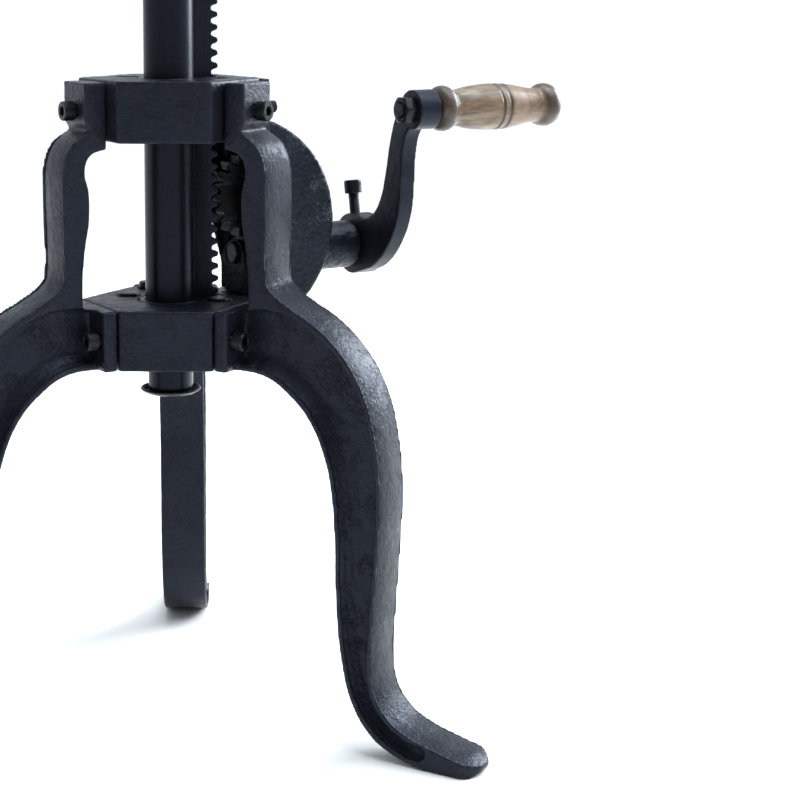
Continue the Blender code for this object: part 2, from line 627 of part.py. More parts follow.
def arm_outline():
    """Both edges of the arm, square to its middle line."""
    left, right = [], []
    for k, (up, side, half) in enumerate(ARM_LINE):
        before, after = ARM_LINE[max(k - 1, 0)], ARM_LINE[min(k + 1, len(ARM_LINE) - 1)]
        run, rise = after[0] - before[0], after[1] - before[1]
        length = hypot(run, rise)
        across = (-rise / length * half, run / length * half)
        flow = ("smooth",) if 0 < k < len(ARM_LINE) - 1 else ()
        left.append((up + across[0], side + across[1], *flow))
        right.append((up - across[0], side - across[1], *flow))
    return left + right[::-1]


def make_crank():
    face = CRANK_FACE
    arm = plate(arm_outline(), CRANK_THICKNESS,
                Matrix.Translation((0, 0, face + CRANK_THICKNESS / 2)), 3)
    arm = combine(arm, [cylinder(CRANK_HUB_RADIUS, face, face + CRANK_HUB_LENGTH, sides=28)],
                  "UNION")
    boss = cylinder(CRANK_BOSS_RADIUS, face, face + CRANK_BOSS_LENGTH, sides=24,
                    at=(HANDLE_UP, HANDLE_SIDE))
    arm = combine(arm, [boss], "UNION")
    arm = combine(arm, [cylinder(SHAFT_RADIUS + GAP, 0.1, 0.2, sides=20)])
    bolt_hole = cylinder(HANDLE_BOLT_RADIUS + GAP, 0.1, 0.3, sides=16, at=(HANDLE_UP, HANDLE_SIDE))
    arm = combine(arm, [bolt_hole])
    screw_reach = 0.0360
    tilt = Matrix.Rotation(radians(-10), 4, "Z") @ Matrix.Translation((0, 0, face + 0.0065))
    screw_at = tilt @ axes(Y, Z, X)
    arm = combine(arm, [cylinder(M8_HOLE_RADIUS, 0.002, 0.03, screw_at, sides=12)])
    finish(arm, "crank_arm", SHAFT, CAST_BLACK)
    set_at = screw_at @ Matrix.Translation((0, 0, screw_reach))
    cap_screw("crank_set_screw", SHAFT, set_at, M8_RADIUS, SET_HEAD_RADIUS, SET_HEAD_HEIGHT,
              screw_reach - SHAFT_RADIUS - GAP)


def grip_radius(share):
    """Radius of the turned handle at a share of its length: bead, cove, belly, cove, bead."""
    knots = ((0.00, 0.0118), (0.02, 0.0146), (0.065, 0.0160), (0.11, 0.0150), (0.135, 0.0126),
             (0.16, 0.0124), (0.22, 0.0138), (0.35, 0.0159), (0.45, 0.0164), (0.55, 0.0162),
             (0.66, 0.0148), (0.77, 0.0126), (0.82, 0.0120), (0.855, 0.0124), (0.88, 0.0147),
             (0.93, 0.0156), (0.975, 0.0140), (1.00, 0.0100))
    for (a, low), (b, high) in zip(knots, knots[1:]):
        if share <= b:
            return low + (high - low) * (share - a) / (b - a)
    return knots[-1][1]


def make_handle():
    bore = HANDLE_BOLT_RADIUS + GAP
    steps = 18
    outer = [(grip_radius(k / steps), HANDLE_LENGTH * k / steps) for k in range(steps + 1)]
    head_seat = HANDLE_LENGTH - 0.0045
    profile = outer[::-1] + [(bore, 0), (bore, head_seat), (0.0088, head_seat),
                             (0.0088, HANDLE_LENGTH)]
    grip = lathe(profile, steps=20)
    finish(grip, "handle_grip", HANDLE, BURNT_WOOD)
    start = CRANK_FACE - HANDLE_START - 0.0095
    bolt = cylinder(HANDLE_BOLT_RADIUS, start, head_seat + 0.0006, sides=16)
    bolt = combine(bolt, [cylinder(0.0080, head_seat + GAP, HANDLE_LENGTH - 0.0010, sides=20)],
                   "UNION")
    bolt = combine(bolt, [box((-0.0010, -0.02, HANDLE_LENGTH - 0.0022), (0.0010, 0.02, 0.2))])
    finish(bolt, "handle_bolt", HANDLE, STEEL_BLACK)
    nut_end = CRANK_FACE - HANDLE_START - GAP
    nut = cylinder(0.0098, nut_end - 0.0080, nut_end, sides=6)
    nut = combine(nut, [cylinder(HANDLE_BOLT_RADIUS + GAP, -0.1, 0.1, sides=16)])
    finish(nut, "handle_nut", HANDLE, STEEL_BLACK)
    washer = lathe([(HANDLE_BOLT_RADIUS + GAP, -0.0015), (HANDLE_BOLT_RADIUS + GAP, -GAP),
                    (0.0105, -GAP), (0.0105, -0.0015)][::-1], steps=20)
    finish(washer, "handle_washer", HANDLE, STEEL_BLACK)


# ---------------------------------------------------------------- column
def rack_outline():
    """Bar and teeth as (reach, height); a gap lies level with the gear's middle."""
    root = RACK_PITCH_LINE - 1.1 * MODULE
    tip = RACK_PITCH_LINE + 0.8 * MODULE
    shoulder = tip - 0.0007
    low = GEAR_Z - RACK_TEETH_BELOW * PITCH
    high = GEAR_Z + RACK_TEETH_ABOVE * PITCH
    points = [(RACK_BACK, high), (RACK_BACK, low)]
    for tooth in range(RACK_TEETH_BELOW + RACK_TEETH_ABOVE):
        middle = low + (tooth + 0.5) * PITCH
        points += [(root, middle - 0.36 * PITCH), (shoulder, middle - 0.20 * PITCH),
                   (tip, middle - 0.10 * PITCH), (tip, middle + 0.10 * PITCH),
                   (shoulder, middle + 0.20 * PITCH), (root, middle + 0.36 * PITCH)]
    points.insert(2, (root, low))
    points.append((root, high))
    return points


def rack_screw_heights():
    low = GEAR_Z - (RACK_TEETH_BELOW - 1) * PITCH
    high = GEAR_Z + (RACK_TEETH_ABOVE - 1) * PITCH
    return [low + (high - low) * share for share in (0.03, 0.35, 0.66, 0.97)]


def make_column():
    tube = lathe([(TUBE_RADIUS, TUBE_TOP), (TUBE_RADIUS, TUBE_BOTTOM),
                  (TUBE_BORE_RADIUS, TUBE_BOTTOM), (TUBE_BORE_RADIUS, TUBE_TOP)], steps=36)
    drive = turn_z(DRIVE_AZIMUTH)
    flat = box((TUBE_FLAT, -0.02, 0.1), (0.03, 0.02, TOP_HUB_BOTTOM - 0.004), drive)
    tube = combine(tube, [flat])
    rack = polygon(rack_outline(), RACK_WIDTH, drive @ UPRIGHT)
    for number, height in enumerate(rack_screw_heights()):
        at = drive @ Matrix.Translation((0, 0, height)) @ RADIAL
        tube = combine(tube, [cylinder(M5_HOLE_RADIUS, 0.008, 0.03, at, sides=10)])
        rack = combine(rack, [cylinder(M5_HOLE_RADIUS, 0.005, 0.06, at, sides=10)])
        rack = combine(rack, [cylinder(M5_HEAD_RADIUS + GAP, 0.0230, 0.06, at, sides=16)])
        seat = drive @ Matrix.Translation((0.0230 + GAP, 0, height)) @ RADIAL
        cap_screw(f"rack_screw_{number + 1}", COLUMN, seat, M5_RADIUS, M5_HEAD_RADIUS,
                  M5_HEAD_HEIGHT, 0.011)
    finish(tube, "post_tube", COLUMN, STEEL_BLACK)
    finish(rack, "post_rack", COLUMN, STEEL_BLACK)
    make_foot()
    make_top()


def make_foot():
    """Plug in the tube's end, dished stop washer, and a countersunk screw flush below it."""
    spigot = TUBE_BORE_RADIUS - GAP
    top, low = PLUG_BOTTOM - GAP, PLUG_BOTTOM - GAP - STOP_WASHER_THICKNESS
    hole_at_low = STOP_HEAD_RADIUS + STOP_HEAD_CLEARANCE
    hole_at_top, hole_at_plug = hole_at_low - (top - low), hole_at_low - (PLUG_BOTTOM - low)
    plug = lathe([(M8_HOLE_RADIUS, STOP_PLUG_TOP), (spigot, STOP_PLUG_TOP),
                  (spigot, TUBE_BOTTOM - GAP), (PLUG_RADIUS, TUBE_BOTTOM - GAP),
                  (PLUG_RADIUS, PLUG_BOTTOM), (hole_at_plug, PLUG_BOTTOM),
                  (M8_HOLE_RADIUS, PLUG_BOTTOM + hole_at_plug - M8_HOLE_RADIUS)], steps=24)
    finish(plug, "foot_plug", COLUMN, STEEL_BLACK)
    washer = lathe([(hole_at_top, top), (0.0158, top), (STOP_WASHER_RADIUS - 0.0014, top + 0.0022),
                    (STOP_WASHER_RADIUS, top + 0.0010), (0.0164, low), (hole_at_low, low)],
                   steps=28)
    finish(washer, "stop_washer", COLUMN, STEEL_BLACK)
    cone = STOP_HEAD_RADIUS - M8_RADIUS
    screw = lathe([(0.0, low), (STOP_HEAD_RADIUS, low), (M8_RADIUS, low + cone),
                   (M8_RADIUS, low + STOP_SCREW_LENGTH), (0.0, low + STOP_SCREW_LENGTH)], steps=16)
    screw = combine(screw, [cylinder(0.0028, low - 0.001, low + 0.0026, sides=6)])
    finish(screw, "stop_screw", COLUMN, STEEL_BLACK)


def make_top():
    plate_bottom = TUBE_TOP + GAP
    hub = lathe([(TUBE_RADIUS + GAP, TUBE_TOP), (TOP_FLANGE_RADIUS, TUBE_TOP),
                 (TOP_FLANGE_RADIUS, TUBE_TOP - 0.007), (TOP_HUB_RADIUS + 0.004, TUBE_TOP - 0.007),
                 (TOP_HUB_RADIUS, TUBE_TOP - 0.014), (TOP_HUB_RADIUS, TOP_HUB_BOTTOM),
                 (TUBE_RADIUS + GAP, TOP_HUB_BOTTOM)], steps=32)
    at = axes(X, Z, -Y, (0, 0, TOP_HUB_BOTTOM + 0.011))
    hub = combine(hub, [cylinder(M8_HOLE_RADIUS, 0.01, 0.04, at, sides=12)])
    screw_at = at @ Matrix.Translation((0, 0, TOP_HUB_RADIUS + 0.003))
    cap_screw("hub_set_screw", COLUMN, screw_at, M8_RADIUS, M8_HEAD_RADIUS, M8_HEAD_HEIGHT,
              TOP_HUB_RADIUS + 0.003 - TUBE_RADIUS - GAP)
    top = cylinder(TOP_PLATE_RADIUS, plate_bottom, plate_bottom + TOP_PLATE_THICKNESS, sides=36)
    for number in range(4):
        angle = radians(45 + 90 * number)
        spot = (0.038 * cos(angle), 0.038 * sin(angle))
        hub = combine(hub, [cylinder(M5_HOLE_RADIUS, 0.5, 0.8, at=spot, sides=10)])
        top = combine(top, [cylinder(M5_HOLE_RADIUS, 0.5, plate_bottom + 0.006, at=spot, sides=10)])
        seat = axes(X, -Y, -Z, (*spot, TUBE_TOP - 0.007 - GAP))
        cap_screw(f"plate_screw_{number + 1}", COLUMN, seat, M5_RADIUS, M5_HEAD_RADIUS,
                  M5_HEAD_HEIGHT, 0.012)
        wood = (0.066 * cos(angle), 0.066 * sin(angle))
        top = combine(top, [cylinder(0.0028, 0.5, 0.8, at=wood, sides=20)])
    finish(hub, "top_hub", COLUMN, CAST_BLACK)
    finish(top, "top_plate", COLUMN, CAST_BLACK)


# ---------------------------------------------------------------- assembly
clear_scene()
PARTS = collection("crank_pedestal")
COLUMN = empty("column_axis", None, Matrix.Translation((AXIS_X, AXIS_Y, 0)))
HOUSING = empty("housing_station", COLUMN, turn_z(DRIVE_AZIMUTH))
SHAFT_LOCAL = axes(Z, -Y, X, (0, 0, SHAFT_Z))
SHAFT = empty("shaft_axis", HOUSING, SHAFT_LOCAL)
GEAR = empty("gear_axis", HOUSING, Matrix.Translation((GEAR_REACH, 0, GEAR_Z)) @ UPRIGHT)
HANDLE = empty("handle_axis", SHAFT, Matrix.Translation((HANDLE_UP, HANDLE_SIDE, HANDLE_START)))

make_collar("upper_collar", UPPER_COLLAR_Z, [(x, y, radius + GAP, PLUG_DEPTH)
                                             for x, y, radius, _ in list(PLUGS.values())[:2]])
make_collar("lower_collar", LOWER_COLLAR_Z, [(x, y, radius + GAP, PLUG_DEPTH)
                                             for x, y, radius, _ in PLUGS.values()])
make_bush("upper_bush", UPPER_COLLAR_Z)
make_bush("lower_bush", LOWER_COLLAR_Z)
make_plugs()
for leg_name, leg_azimuth in LEG_AZIMUTHS.items():
    make_leg(leg_name, leg_azimuth)
make_housing()
make_worm_bearing()
make_gear()
make_worm()
make_crank()
make_handle()
make_column()
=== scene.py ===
"""Looks of a crank-raised cast iron pedestal: painted castings, post and rack, worm and
gear, screws, and a crank with a turned, burnt wooden handle.  Metres, +Z up."""

import json
from math import atan2, cos, floor, hypot, pi, radians, sin, sqrt, tan

import bmesh
import bpy
from mathutils import Euler, Matrix, Vector, noise

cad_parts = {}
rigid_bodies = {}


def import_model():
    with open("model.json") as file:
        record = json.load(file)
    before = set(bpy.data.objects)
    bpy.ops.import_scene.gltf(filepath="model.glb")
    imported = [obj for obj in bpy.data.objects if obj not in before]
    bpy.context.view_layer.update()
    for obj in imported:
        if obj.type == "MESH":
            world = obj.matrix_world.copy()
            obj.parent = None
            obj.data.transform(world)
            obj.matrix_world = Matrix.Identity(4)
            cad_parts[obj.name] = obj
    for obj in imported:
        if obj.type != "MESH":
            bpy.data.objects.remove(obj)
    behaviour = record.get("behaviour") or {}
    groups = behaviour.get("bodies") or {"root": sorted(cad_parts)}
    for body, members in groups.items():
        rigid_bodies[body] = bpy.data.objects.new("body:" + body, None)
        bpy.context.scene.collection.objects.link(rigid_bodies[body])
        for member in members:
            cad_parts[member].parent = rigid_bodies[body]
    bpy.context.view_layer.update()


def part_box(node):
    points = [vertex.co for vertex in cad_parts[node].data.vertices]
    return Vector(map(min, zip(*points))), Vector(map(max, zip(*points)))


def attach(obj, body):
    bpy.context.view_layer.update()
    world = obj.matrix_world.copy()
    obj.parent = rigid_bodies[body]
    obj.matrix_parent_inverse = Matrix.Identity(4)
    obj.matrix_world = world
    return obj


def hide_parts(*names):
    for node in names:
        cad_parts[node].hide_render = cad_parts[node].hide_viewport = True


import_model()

# ---- dimensions
GAP = 0.0003
X, Y, Z = Vector((1, 0, 0)), Vector((0, 1, 0)), Vector((0, 0, 1))

COLLAR_APOTHEM = 0.0537
COLLAR_HEIGHT = 0.042
COLLAR_HALF_SIDE = COLLAR_APOTHEM * tan(radians(30))
LOWER_COLLAR_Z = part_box("lower_collar")[0].z
LOWER_COLLAR_TOP = LOWER_COLLAR_Z + COLLAR_HEIGHT
UPPER_COLLAR_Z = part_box("upper_collar")[0].z
BUSH_RADIUS = 0.021
RACK_SLOT_HALF_WIDTH = 0.0075
RACK_SLOT_REACH = 0.0385
LEG_AZIMUTHS = {"leg_front_right": -30, "leg_back": 90, "leg_front_left": 210}
LEG_WIDTH = 0.035
WEB_THICKNESS = 0.013
PAD_THICKNESS = 0.011
FOOT_REACH = 0.243
BLOCK_FACE = 0.0705
# screws as (radius, head radius, head height, pitch), and their holes
M8, M8_HOLE = (0.004, 0.0065, 0.008, 0.00125), 0.0044
M5, M5_HOLE = (0.0025, 0.0041, 0.005, 0.0008), 0.0029
SET_SCREW = (0.004, 0.0062, 0.0095, 0.00125)
# extra radius of the holes in rough castings, so that their skin clears what fills them
EASE = 0.0002
LOWER_BOLT_OFFSET = 0.020
LEG_BOLT_END = {LOWER_COLLAR_Z: 0.0305, UPPER_COLLAR_Z: 0.0365}
TUBE_RADIUS, TUBE_BORE_RADIUS, TUBE_FLAT = 0.017, 0.014, 0.0155
TUBE_BOTTOM, TUBE_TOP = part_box("post_tube")[0].z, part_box("post_tube")[1].z
RACK_WIDTH = 0.012
RACK_SCREW_SEAT = 0.0230
PLUG_BOTTOM, PLUG_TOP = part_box("foot_plug")[0].z, 0.272
STOP_WASHER_RADIUS, STOP_WASHER_THICKNESS = 0.0211, 0.0018
STOP_HEAD_RADIUS, STOP_HEAD_CLEARANCE = 0.0088, 0.0004
TOP_HUB_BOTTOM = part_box("top_hub")[0].z
TOP_HUB_RADIUS, TOP_FLANGE_RADIUS, TOP_PLATE_RADIUS = 0.026, 0.050, 0.080
TOP_FLANGE_THICKNESS, TOP_PLATE_THICKNESS = 0.007, 0.008
PLATE_SCREW_CIRCLE, FIXING_CIRCLE = 0.038, 0.066
DRIVE_AZIMUTH = 30
MODULE = 0.00275
GEAR_TEETH = 20
PITCH = pi * MODULE
GEAR_RADIUS = MODULE * GEAR_TEETH / 2
RACK_PITCH_LINE = 0.03305
WORM_RADIUS = 0.0125
SHAFT_Z = 0.320
GEAR_Z = SHAFT_Z + WORM_RADIUS + GEAR_RADIUS
GEAR_REACH = RACK_PITCH_LINE + GEAR_RADIUS
AXLE_RADIUS, AXLE_BORE = 0.0058, 0.0058 + GAP
SHAFT_RADIUS, SHAFT_BORE = 0.007, 0.007 + GAP
WORM_START, WORM_END, WORM_HUB_END, WORM_HUB_RADIUS = 0.0545, 0.0765, 0.087, 0.0105
GEAR_WIDTH, GEAR_HUB_RADIUS, GEAR_HUB_HALF = 0.012, 0.011, 0.0155
PIN_RADIUS, PIN_HOLE_RADIUS, PIN_HALF_LENGTH = 0.0015, 0.0018, 0.0100
# the outer radius, start and end of the ring that takes the worm's thrust
THRUST_COLLAR = (0.0120, 0.0910, 0.1000)
SHAFT_START = 0.048
HOUSING_CENTRE, HOUSING_Z, HOUSING_RADIUS = 0.0434, 0.3416, 0.0759
HOUSING_WALL, HOUSING_HALF_WIDTH, HOUSING_PAD = 0.006, 0.0222, 0.008
HOUSING_START = COLLAR_APOTHEM + GAP
CHEEK_INNER, CHEEK_OUTER = 0.0184, 0.0220
BEARING_START, BEARING_END = 0.0490, 0.0534
BEARING_RADIUS, BEARING_TOP = 0.0178, 0.3293
HOUSING_BOLT_OFFSET = 0.0268
HOUSING_BOLT_DROP = {LOWER_COLLAR_Z: 0.0115, UPPER_COLLAR_Z: 0.0}
SLEEVE_RADIUS, SLEEVE_END, SLEEVE_BORE = 0.018, 0.1452, 0.0102
CRANK_FACE = SLEEVE_END + 0.0005
CRANK_THICKNESS = 0.012
CRANK_HUB_RADIUS, CRANK_HUB_LENGTH = 0.022, 0.017
CRANK_BOSS_RADIUS, CRANK_BOSS_LENGTH = 0.0138, 0.0173
HANDLE_UP, HANDLE_SIDE = 0.101, 0.076
HANDLE_START = CRANK_FACE + CRANK_BOSS_LENGTH + 0.0018
HANDLE_LENGTH = 0.1015
HANDLE_BOLT_RADIUS, HANDLE_BORE = 0.005, 0.005 + GAP


# ---- mesh helpers
def turn_z(degrees):
    return Matrix.Rotation(radians(degrees), 4, "Z")


def move(x, y, z):
    return Matrix.Translation((x, y, z))


def polar(radius, angle):
    return radius * cos(angle), radius * sin(angle)


def axes(x, y, z, origin=(0, 0, 0)):
    """The matrix whose columns are the given axes and origin."""
    matrix = Matrix.Identity(4)
    for column, axis in enumerate((x, y, z, Vector(origin))):
        for row in range(3):
            matrix[row][column] = axis[row]
    return matrix


UPRIGHT = axes(X, Z, -Y)
RADIAL = axes(Z, -Y, X)


def radial(x, y, z):
    """At the given place, with local Z pointing outwards."""
    return move(x, y, z) @ RADIAL


POST = (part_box("post_tube")[0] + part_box("post_tube")[1]) / 2
COLUMN = move(POST.x, POST.y, 0)
HOUSING = COLUMN @ turn_z(DRIVE_AZIMUTH)
SHAFT_LOCAL = radial(0, 0, SHAFT_Z)
SHAFT = HOUSING @ SHAFT_LOCAL
GEAR = HOUSING @ move(GEAR_REACH, 0, GEAR_Z) @ UPRIGHT
HANDLE = SHAFT @ move(HANDLE_UP, HANDLE_SIDE, HANDLE_START)


def add_object(name, data):
    obj = bpy.data.objects.new(name, data)
    bpy.context.scene.collection.objects.link(obj)
    return obj


def mesh_object(bm, matrix=Matrix()):
    bmesh.ops.recalc_face_normals(bm, faces=bm.faces)
    mesh = bpy.data.meshes.new("mesh")
    bm.to_mesh(mesh)
    bm.free()
    mesh.transform(matrix)
    return add_object("piece", mesh)


def box(low, high, matrix=Matrix()):
    low, high = Vector(low), Vector(high)
    bm = bmesh.new()
    bmesh.ops.create_cube(bm, size=1)
    bmesh.ops.scale(bm, vec=high - low, verts=bm.verts)
    bmesh.ops.translate(bm, vec=(low + high) / 2, verts=bm.verts)
    return mesh_object(bm, matrix)


def cylinder(radius, start, end, matrix=Matrix(), at=(0, 0), sides=48):
    bm = bmesh.new()
    bmesh.ops.create_cone(bm, cap_ends=True, segments=sides, radius1=radius,
                          radius2=radius, depth=end - start)
    bmesh.ops.translate(bm, vec=(at[0], at[1], (start + end) / 2), verts=bm.verts)
    return mesh_object(bm, matrix)


def to_mesh(obj, matrix=Matrix(), weld=1e-6):
    """Evaluate a curve or a modified mesh into a plain mesh object, its points welded."""
    bpy.context.view_layer.update()
    graph = bpy.context.evaluated_depsgraph_get()
    mesh = bpy.data.meshes.new_from_object(obj.evaluated_get(graph))
    bm = bmesh.new()
    bm.from_mesh(mesh)
    bmesh.ops.remove_doubles(bm, verts=bm.verts, dist=weld)
    bpy.data.objects.remove(obj)
    return mesh_object(bm, matrix)


def outline_curve(thickness, kind, count):
    curve = bpy.data.curves.new("outline", "CURVE")
    curve.dimensions = "2D"
    curve.fill_mode = "BOTH"
    curve.extrude = thickness / 2
    spline = curve.splines.new(kind)
    if kind == "BEZIER":
        spline.bezier_points.add(count - 1)
    else:
        spline.points.add(count - 1)
    spline.use_cyclic_u = True
    return add_object("outline", curve), curve, spline


def plate(points, thickness, matrix=Matrix(), resolution=8):
    """A flat outline in local XY; a point with a third item is one the edge flows through."""
    obj, curve, spline = outline_curve(thickness, "BEZIER", len(points))
    curve.resolution_u = resolution
    curve.render_resolution_u = 0
    for knot, point in zip(spline.bezier_points, points):
        kind = "AUTO" if len(point) == 3 else "VECTOR"
        knot.co = (point[0], point[1], 0)
        knot.handle_left_type = kind
        knot.handle_right_type = kind
    return to_mesh(obj, matrix)


def polygon(points, thickness, matrix=Matrix()):
    """A flat outline of straight edges in local XY, centred on z = 0."""
    obj, _, spline = outline_curve(thickness, "POLY", len(points))
    for knot, point in zip(spline.points, points):
        knot.co = (point[0], point[1], 0, 1)
    return to_mesh(obj, matrix)


def lathe(profile, matrix=Matrix(), steps=64):
    """Turn a closed (radius, height) loop about local Z."""
    bm = bmesh.new()
    rings = []
    for step in range(steps):
        angle = 2 * pi * step / steps
        rings.append([bm.verts.new((*polar(radius, angle), height))
                      for radius, height in profile])
    closed = min(radius for radius, height in profile) > 1e-5
    count = len(profile)
    for step in range(steps):
        ring, after = rings[step], rings[(step + 1) % steps]
        for k in range(count if closed else count - 1):
            following = (k + 1) % count
            bm.faces.new((ring[k], after[k], after[following], ring[following]))
    bmesh.ops.remove_doubles(bm, verts=bm.verts, dist=1e-6)
    return mesh_object(bm, matrix)


def turned(heights, sides, reach):
    """A closed solid of rings at the given heights; reach(ring, side) is a point's radius."""
    bm = bmesh.new()
    rings = []
    for k, height in enumerate(heights):
        rings.append([bm.verts.new((*polar(reach(k, side), 2 * pi * side / sides), height))
                      for side in range(sides)])
    for loop, after in zip(rings, rings[1:]):
        for side in range(sides):
            following = (side + 1) % sides
            bm.faces.new((loop[side], loop[following], after[following], after[side]))
    bm.faces.new(rings[0])
    bm.faces.new(rings[-1])
    return mesh_object(bm)


def combine(obj, others, operation="DIFFERENCE"):
    """Apply a Boolean with each of the others, and remove them."""
    for other in others:
        cut = obj.modifiers.new("cut", "BOOLEAN")
        cut.operation = operation
        cut.solver = "MANIFOLD"
        cut.object = other
        done = to_mesh(obj, weld=0)
        bpy.data.objects.remove(other)
        obj = done
    return obj


def bevelled(obj, width, segments=2, angle=30):
    edge = obj.modifiers.new("bevel", "BEVEL")
    edge.width = width
    edge.segments = segments
    edge.limit_method = "ANGLE"
    edge.angle_limit = radians(angle)
    return to_mesh(obj)


def fbm(point, octaves=3):
    """Noise from about 0 to 1."""
    return min(1.0, max(0.0, 0.5 + 0.5 * noise.fractal(point, 1.0, 2.1, octaves)))


def pimples(point, scale, seed):
    """Small round bumps, 0 to 1, on some of the cells of a random pattern."""
    distances, points = noise.voronoi(point * scale + Vector((seed, 0, 0)))
    keep = noise.cell(points[0] * 7.3)
    size = 0.28 + 0.12 * keep
    share = max(0.0, 1 - distances[0] / size)
    return share * share * (3 - 2 * share) if keep > -0.2 else 0.0


def cast(obj, voxel, smooth, lump, wave, bumps, seed, rough, crown):
    """Give a sharp solid a sand casting's skin: rounded edges, waves, lumps and pimples,
    all of them cut into the solid and never built onto it.  crown(point, normal) sinks
    the skin further, in metres."""
    grid = obj.modifiers.new("grid", "REMESH")
    grid.mode = "VOXEL"
    grid.voxel_size = voxel
    grid.adaptivity = 0
    soft = obj.modifiers.new("soft", "SMOOTH")
    soft.factor = 0.6
    soft.iterations = smooth
    obj = to_mesh(obj)
    mesh = obj.data
    shift = Vector((seed * 3.1, seed * 1.7, -seed * 2.3))
    normals = [vertex.normal.copy() for vertex in mesh.vertices]
    for vertex, normal in zip(mesh.vertices, normals):
        point = vertex.co
        more = rough(point, normal) if rough else 1.0
        sink = wave * fbm(point * 28 + shift, 2)
        sink += lump * more * fbm(point * 170 + shift, 3)
        sink += bumps * more * (1 - pimples(point, 330, seed))
        if crown:
            sink += crown(point, normal)
        vertex.co = point - normal * sink
    return obj


def piece(obj, node, body, look, matrix=COLUMN, sharp=35):
    """Name a finished piece, set it in place, and let it stand for its plain node."""
    obj.data.transform(matrix)
    obj.name = node + "_look"
    obj.data.materials.clear()
    obj.data.materials.append(look)
    obj.data.shade_smooth()
    if sharp:
        obj.data.set_sharp_from_angle(angle=radians(sharp))
    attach(obj, body)
    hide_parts(node)
    return obj


# cast skins as (voxel, rounds of smoothing, depth of lumps, waves and pimples)
LEG_SKIN = (0.0013, 8, 0.00022, 0.00030, 0.00018)
COLLAR_SKIN = (0.0013, 3, 0.00032, 0.00050, 0.00018)
HOUSING_SKIN = (0.0014, 3, 0.00036, 0.00045, 0.00030)
BEARING_SKIN = (0.0007, 2, 0.00016, 0.00015, 0.00010)
CRANK_SKIN = (0.0008, 2, 0.00014, 0.00022, 0.00008)
RACK_SKIN = (0.0008, 2, 0.00012, 0.00012, 0.00006)
HUB_SKIN = (0.0013, 3, 0.00035, 0.00040, 0.00018)
PLATE_SKIN = (0.0013, 2, 0.00028, 0.00006, 0.00014)


def casting(obj, node, body, look, matrix, skin, seed, rough=None, crown=None):
    """A piece with a cast skin, shaded smooth all over."""
    piece(cast(obj, *skin, seed, rough, crown), node, body, look, matrix, None)


# ---- materials
class Wiring:
    """A material with a short way to add and join nodes."""

    def __init__(self, name):
        self.material = bpy.data.materials.new(name)
        self.material.use_nodes = True
        self.tree = self.material.node_tree
        self.shader = self.tree.nodes["Principled BSDF"]
        self.where = self.add("ShaderNodeTexCoord").outputs["Object"]

    def feed(self, socket, value):
        """Link a socket, or set it; a colour is given as three numbers."""
        if hasattr(value, "is_linked"):
            self.tree.links.new(value, socket)
        else:
            socket.default_value = (*value, 1) if socket.type == "RGBA" else value

    def add(self, kind, settings=None, **inputs):
        node = self.tree.nodes.new(kind)
        for key, value in (settings or {}).items():
            setattr(node, key, value)
        for key, value in inputs.items():
            self.feed(node.inputs[int(key[1:]) if key[0] == "i" else key.replace("_", " ")],
                      value)
        return node

    def noise(self, scale, detail=4.0, rough=0.55, where=None, warp=0.0):
        return self.add("ShaderNodeTexNoise", Vector=where or self.where, Scale=scale,
                        Detail=detail, Roughness=rough, Distortion=warp).outputs["Fac"]

    def math(self, operation, a, b=0.0, clamp=False):
        return self.add("ShaderNodeMath", {"operation": operation, "use_clamp": clamp},
                        i0=a, i1=b).outputs[0]

    def remap(self, value, low, high, to_low=0.0, to_high=1.0):
        return self.add("ShaderNodeMapRange", Value=value, From_Min=low, From_Max=high,
                        To_Min=to_low, To_Max=to_high).outputs["Result"]

    def times(self, a, b, clamp=False):
        return self.math("MULTIPLY", a, b, clamp)

    def plus(self, a, b, clamp=False):
        return self.math("ADD", a, b, clamp)

    def minus(self, a, b):
        return self.math("SUBTRACT", a, b)

    def weighted(self, a, share_a, b, share_b):
        """The sum of two values, each times its share."""
        return self.plus(self.times(a, share_a), self.times(b, share_b))

    def mix(self, share, first, second):
        return self.add("ShaderNodeMix", {"data_type": "RGBA", "clamp_factor": True},
                        i0=share, i6=first, i7=second).outputs[2]

    def over(self, colour, paint, share, strength):
        """Lay paint over a colour: strength where share is 1, none where it is 0."""
        return self.mix(self.times(share, strength), colour, paint)

    def finish(self, colour, roughness, height=None, strength=1.0, depth=0.001, **inputs):
        inputs.update(Base_Color=colour, Roughness=roughness)
        if height is not None:
            bump = self.add("ShaderNodeBump", Height=height, Strength=strength, Distance=depth)
            inputs["Normal"] = bump.outputs["Normal"]
        for key, value in inputs.items():
            self.feed(self.shader.inputs[key.replace("_", " ")], value)
        return self.material


PAINT_TINT, STEEL_TINT = (0.68, 0.78, 1.0), (0.80, 0.88, 1.0)


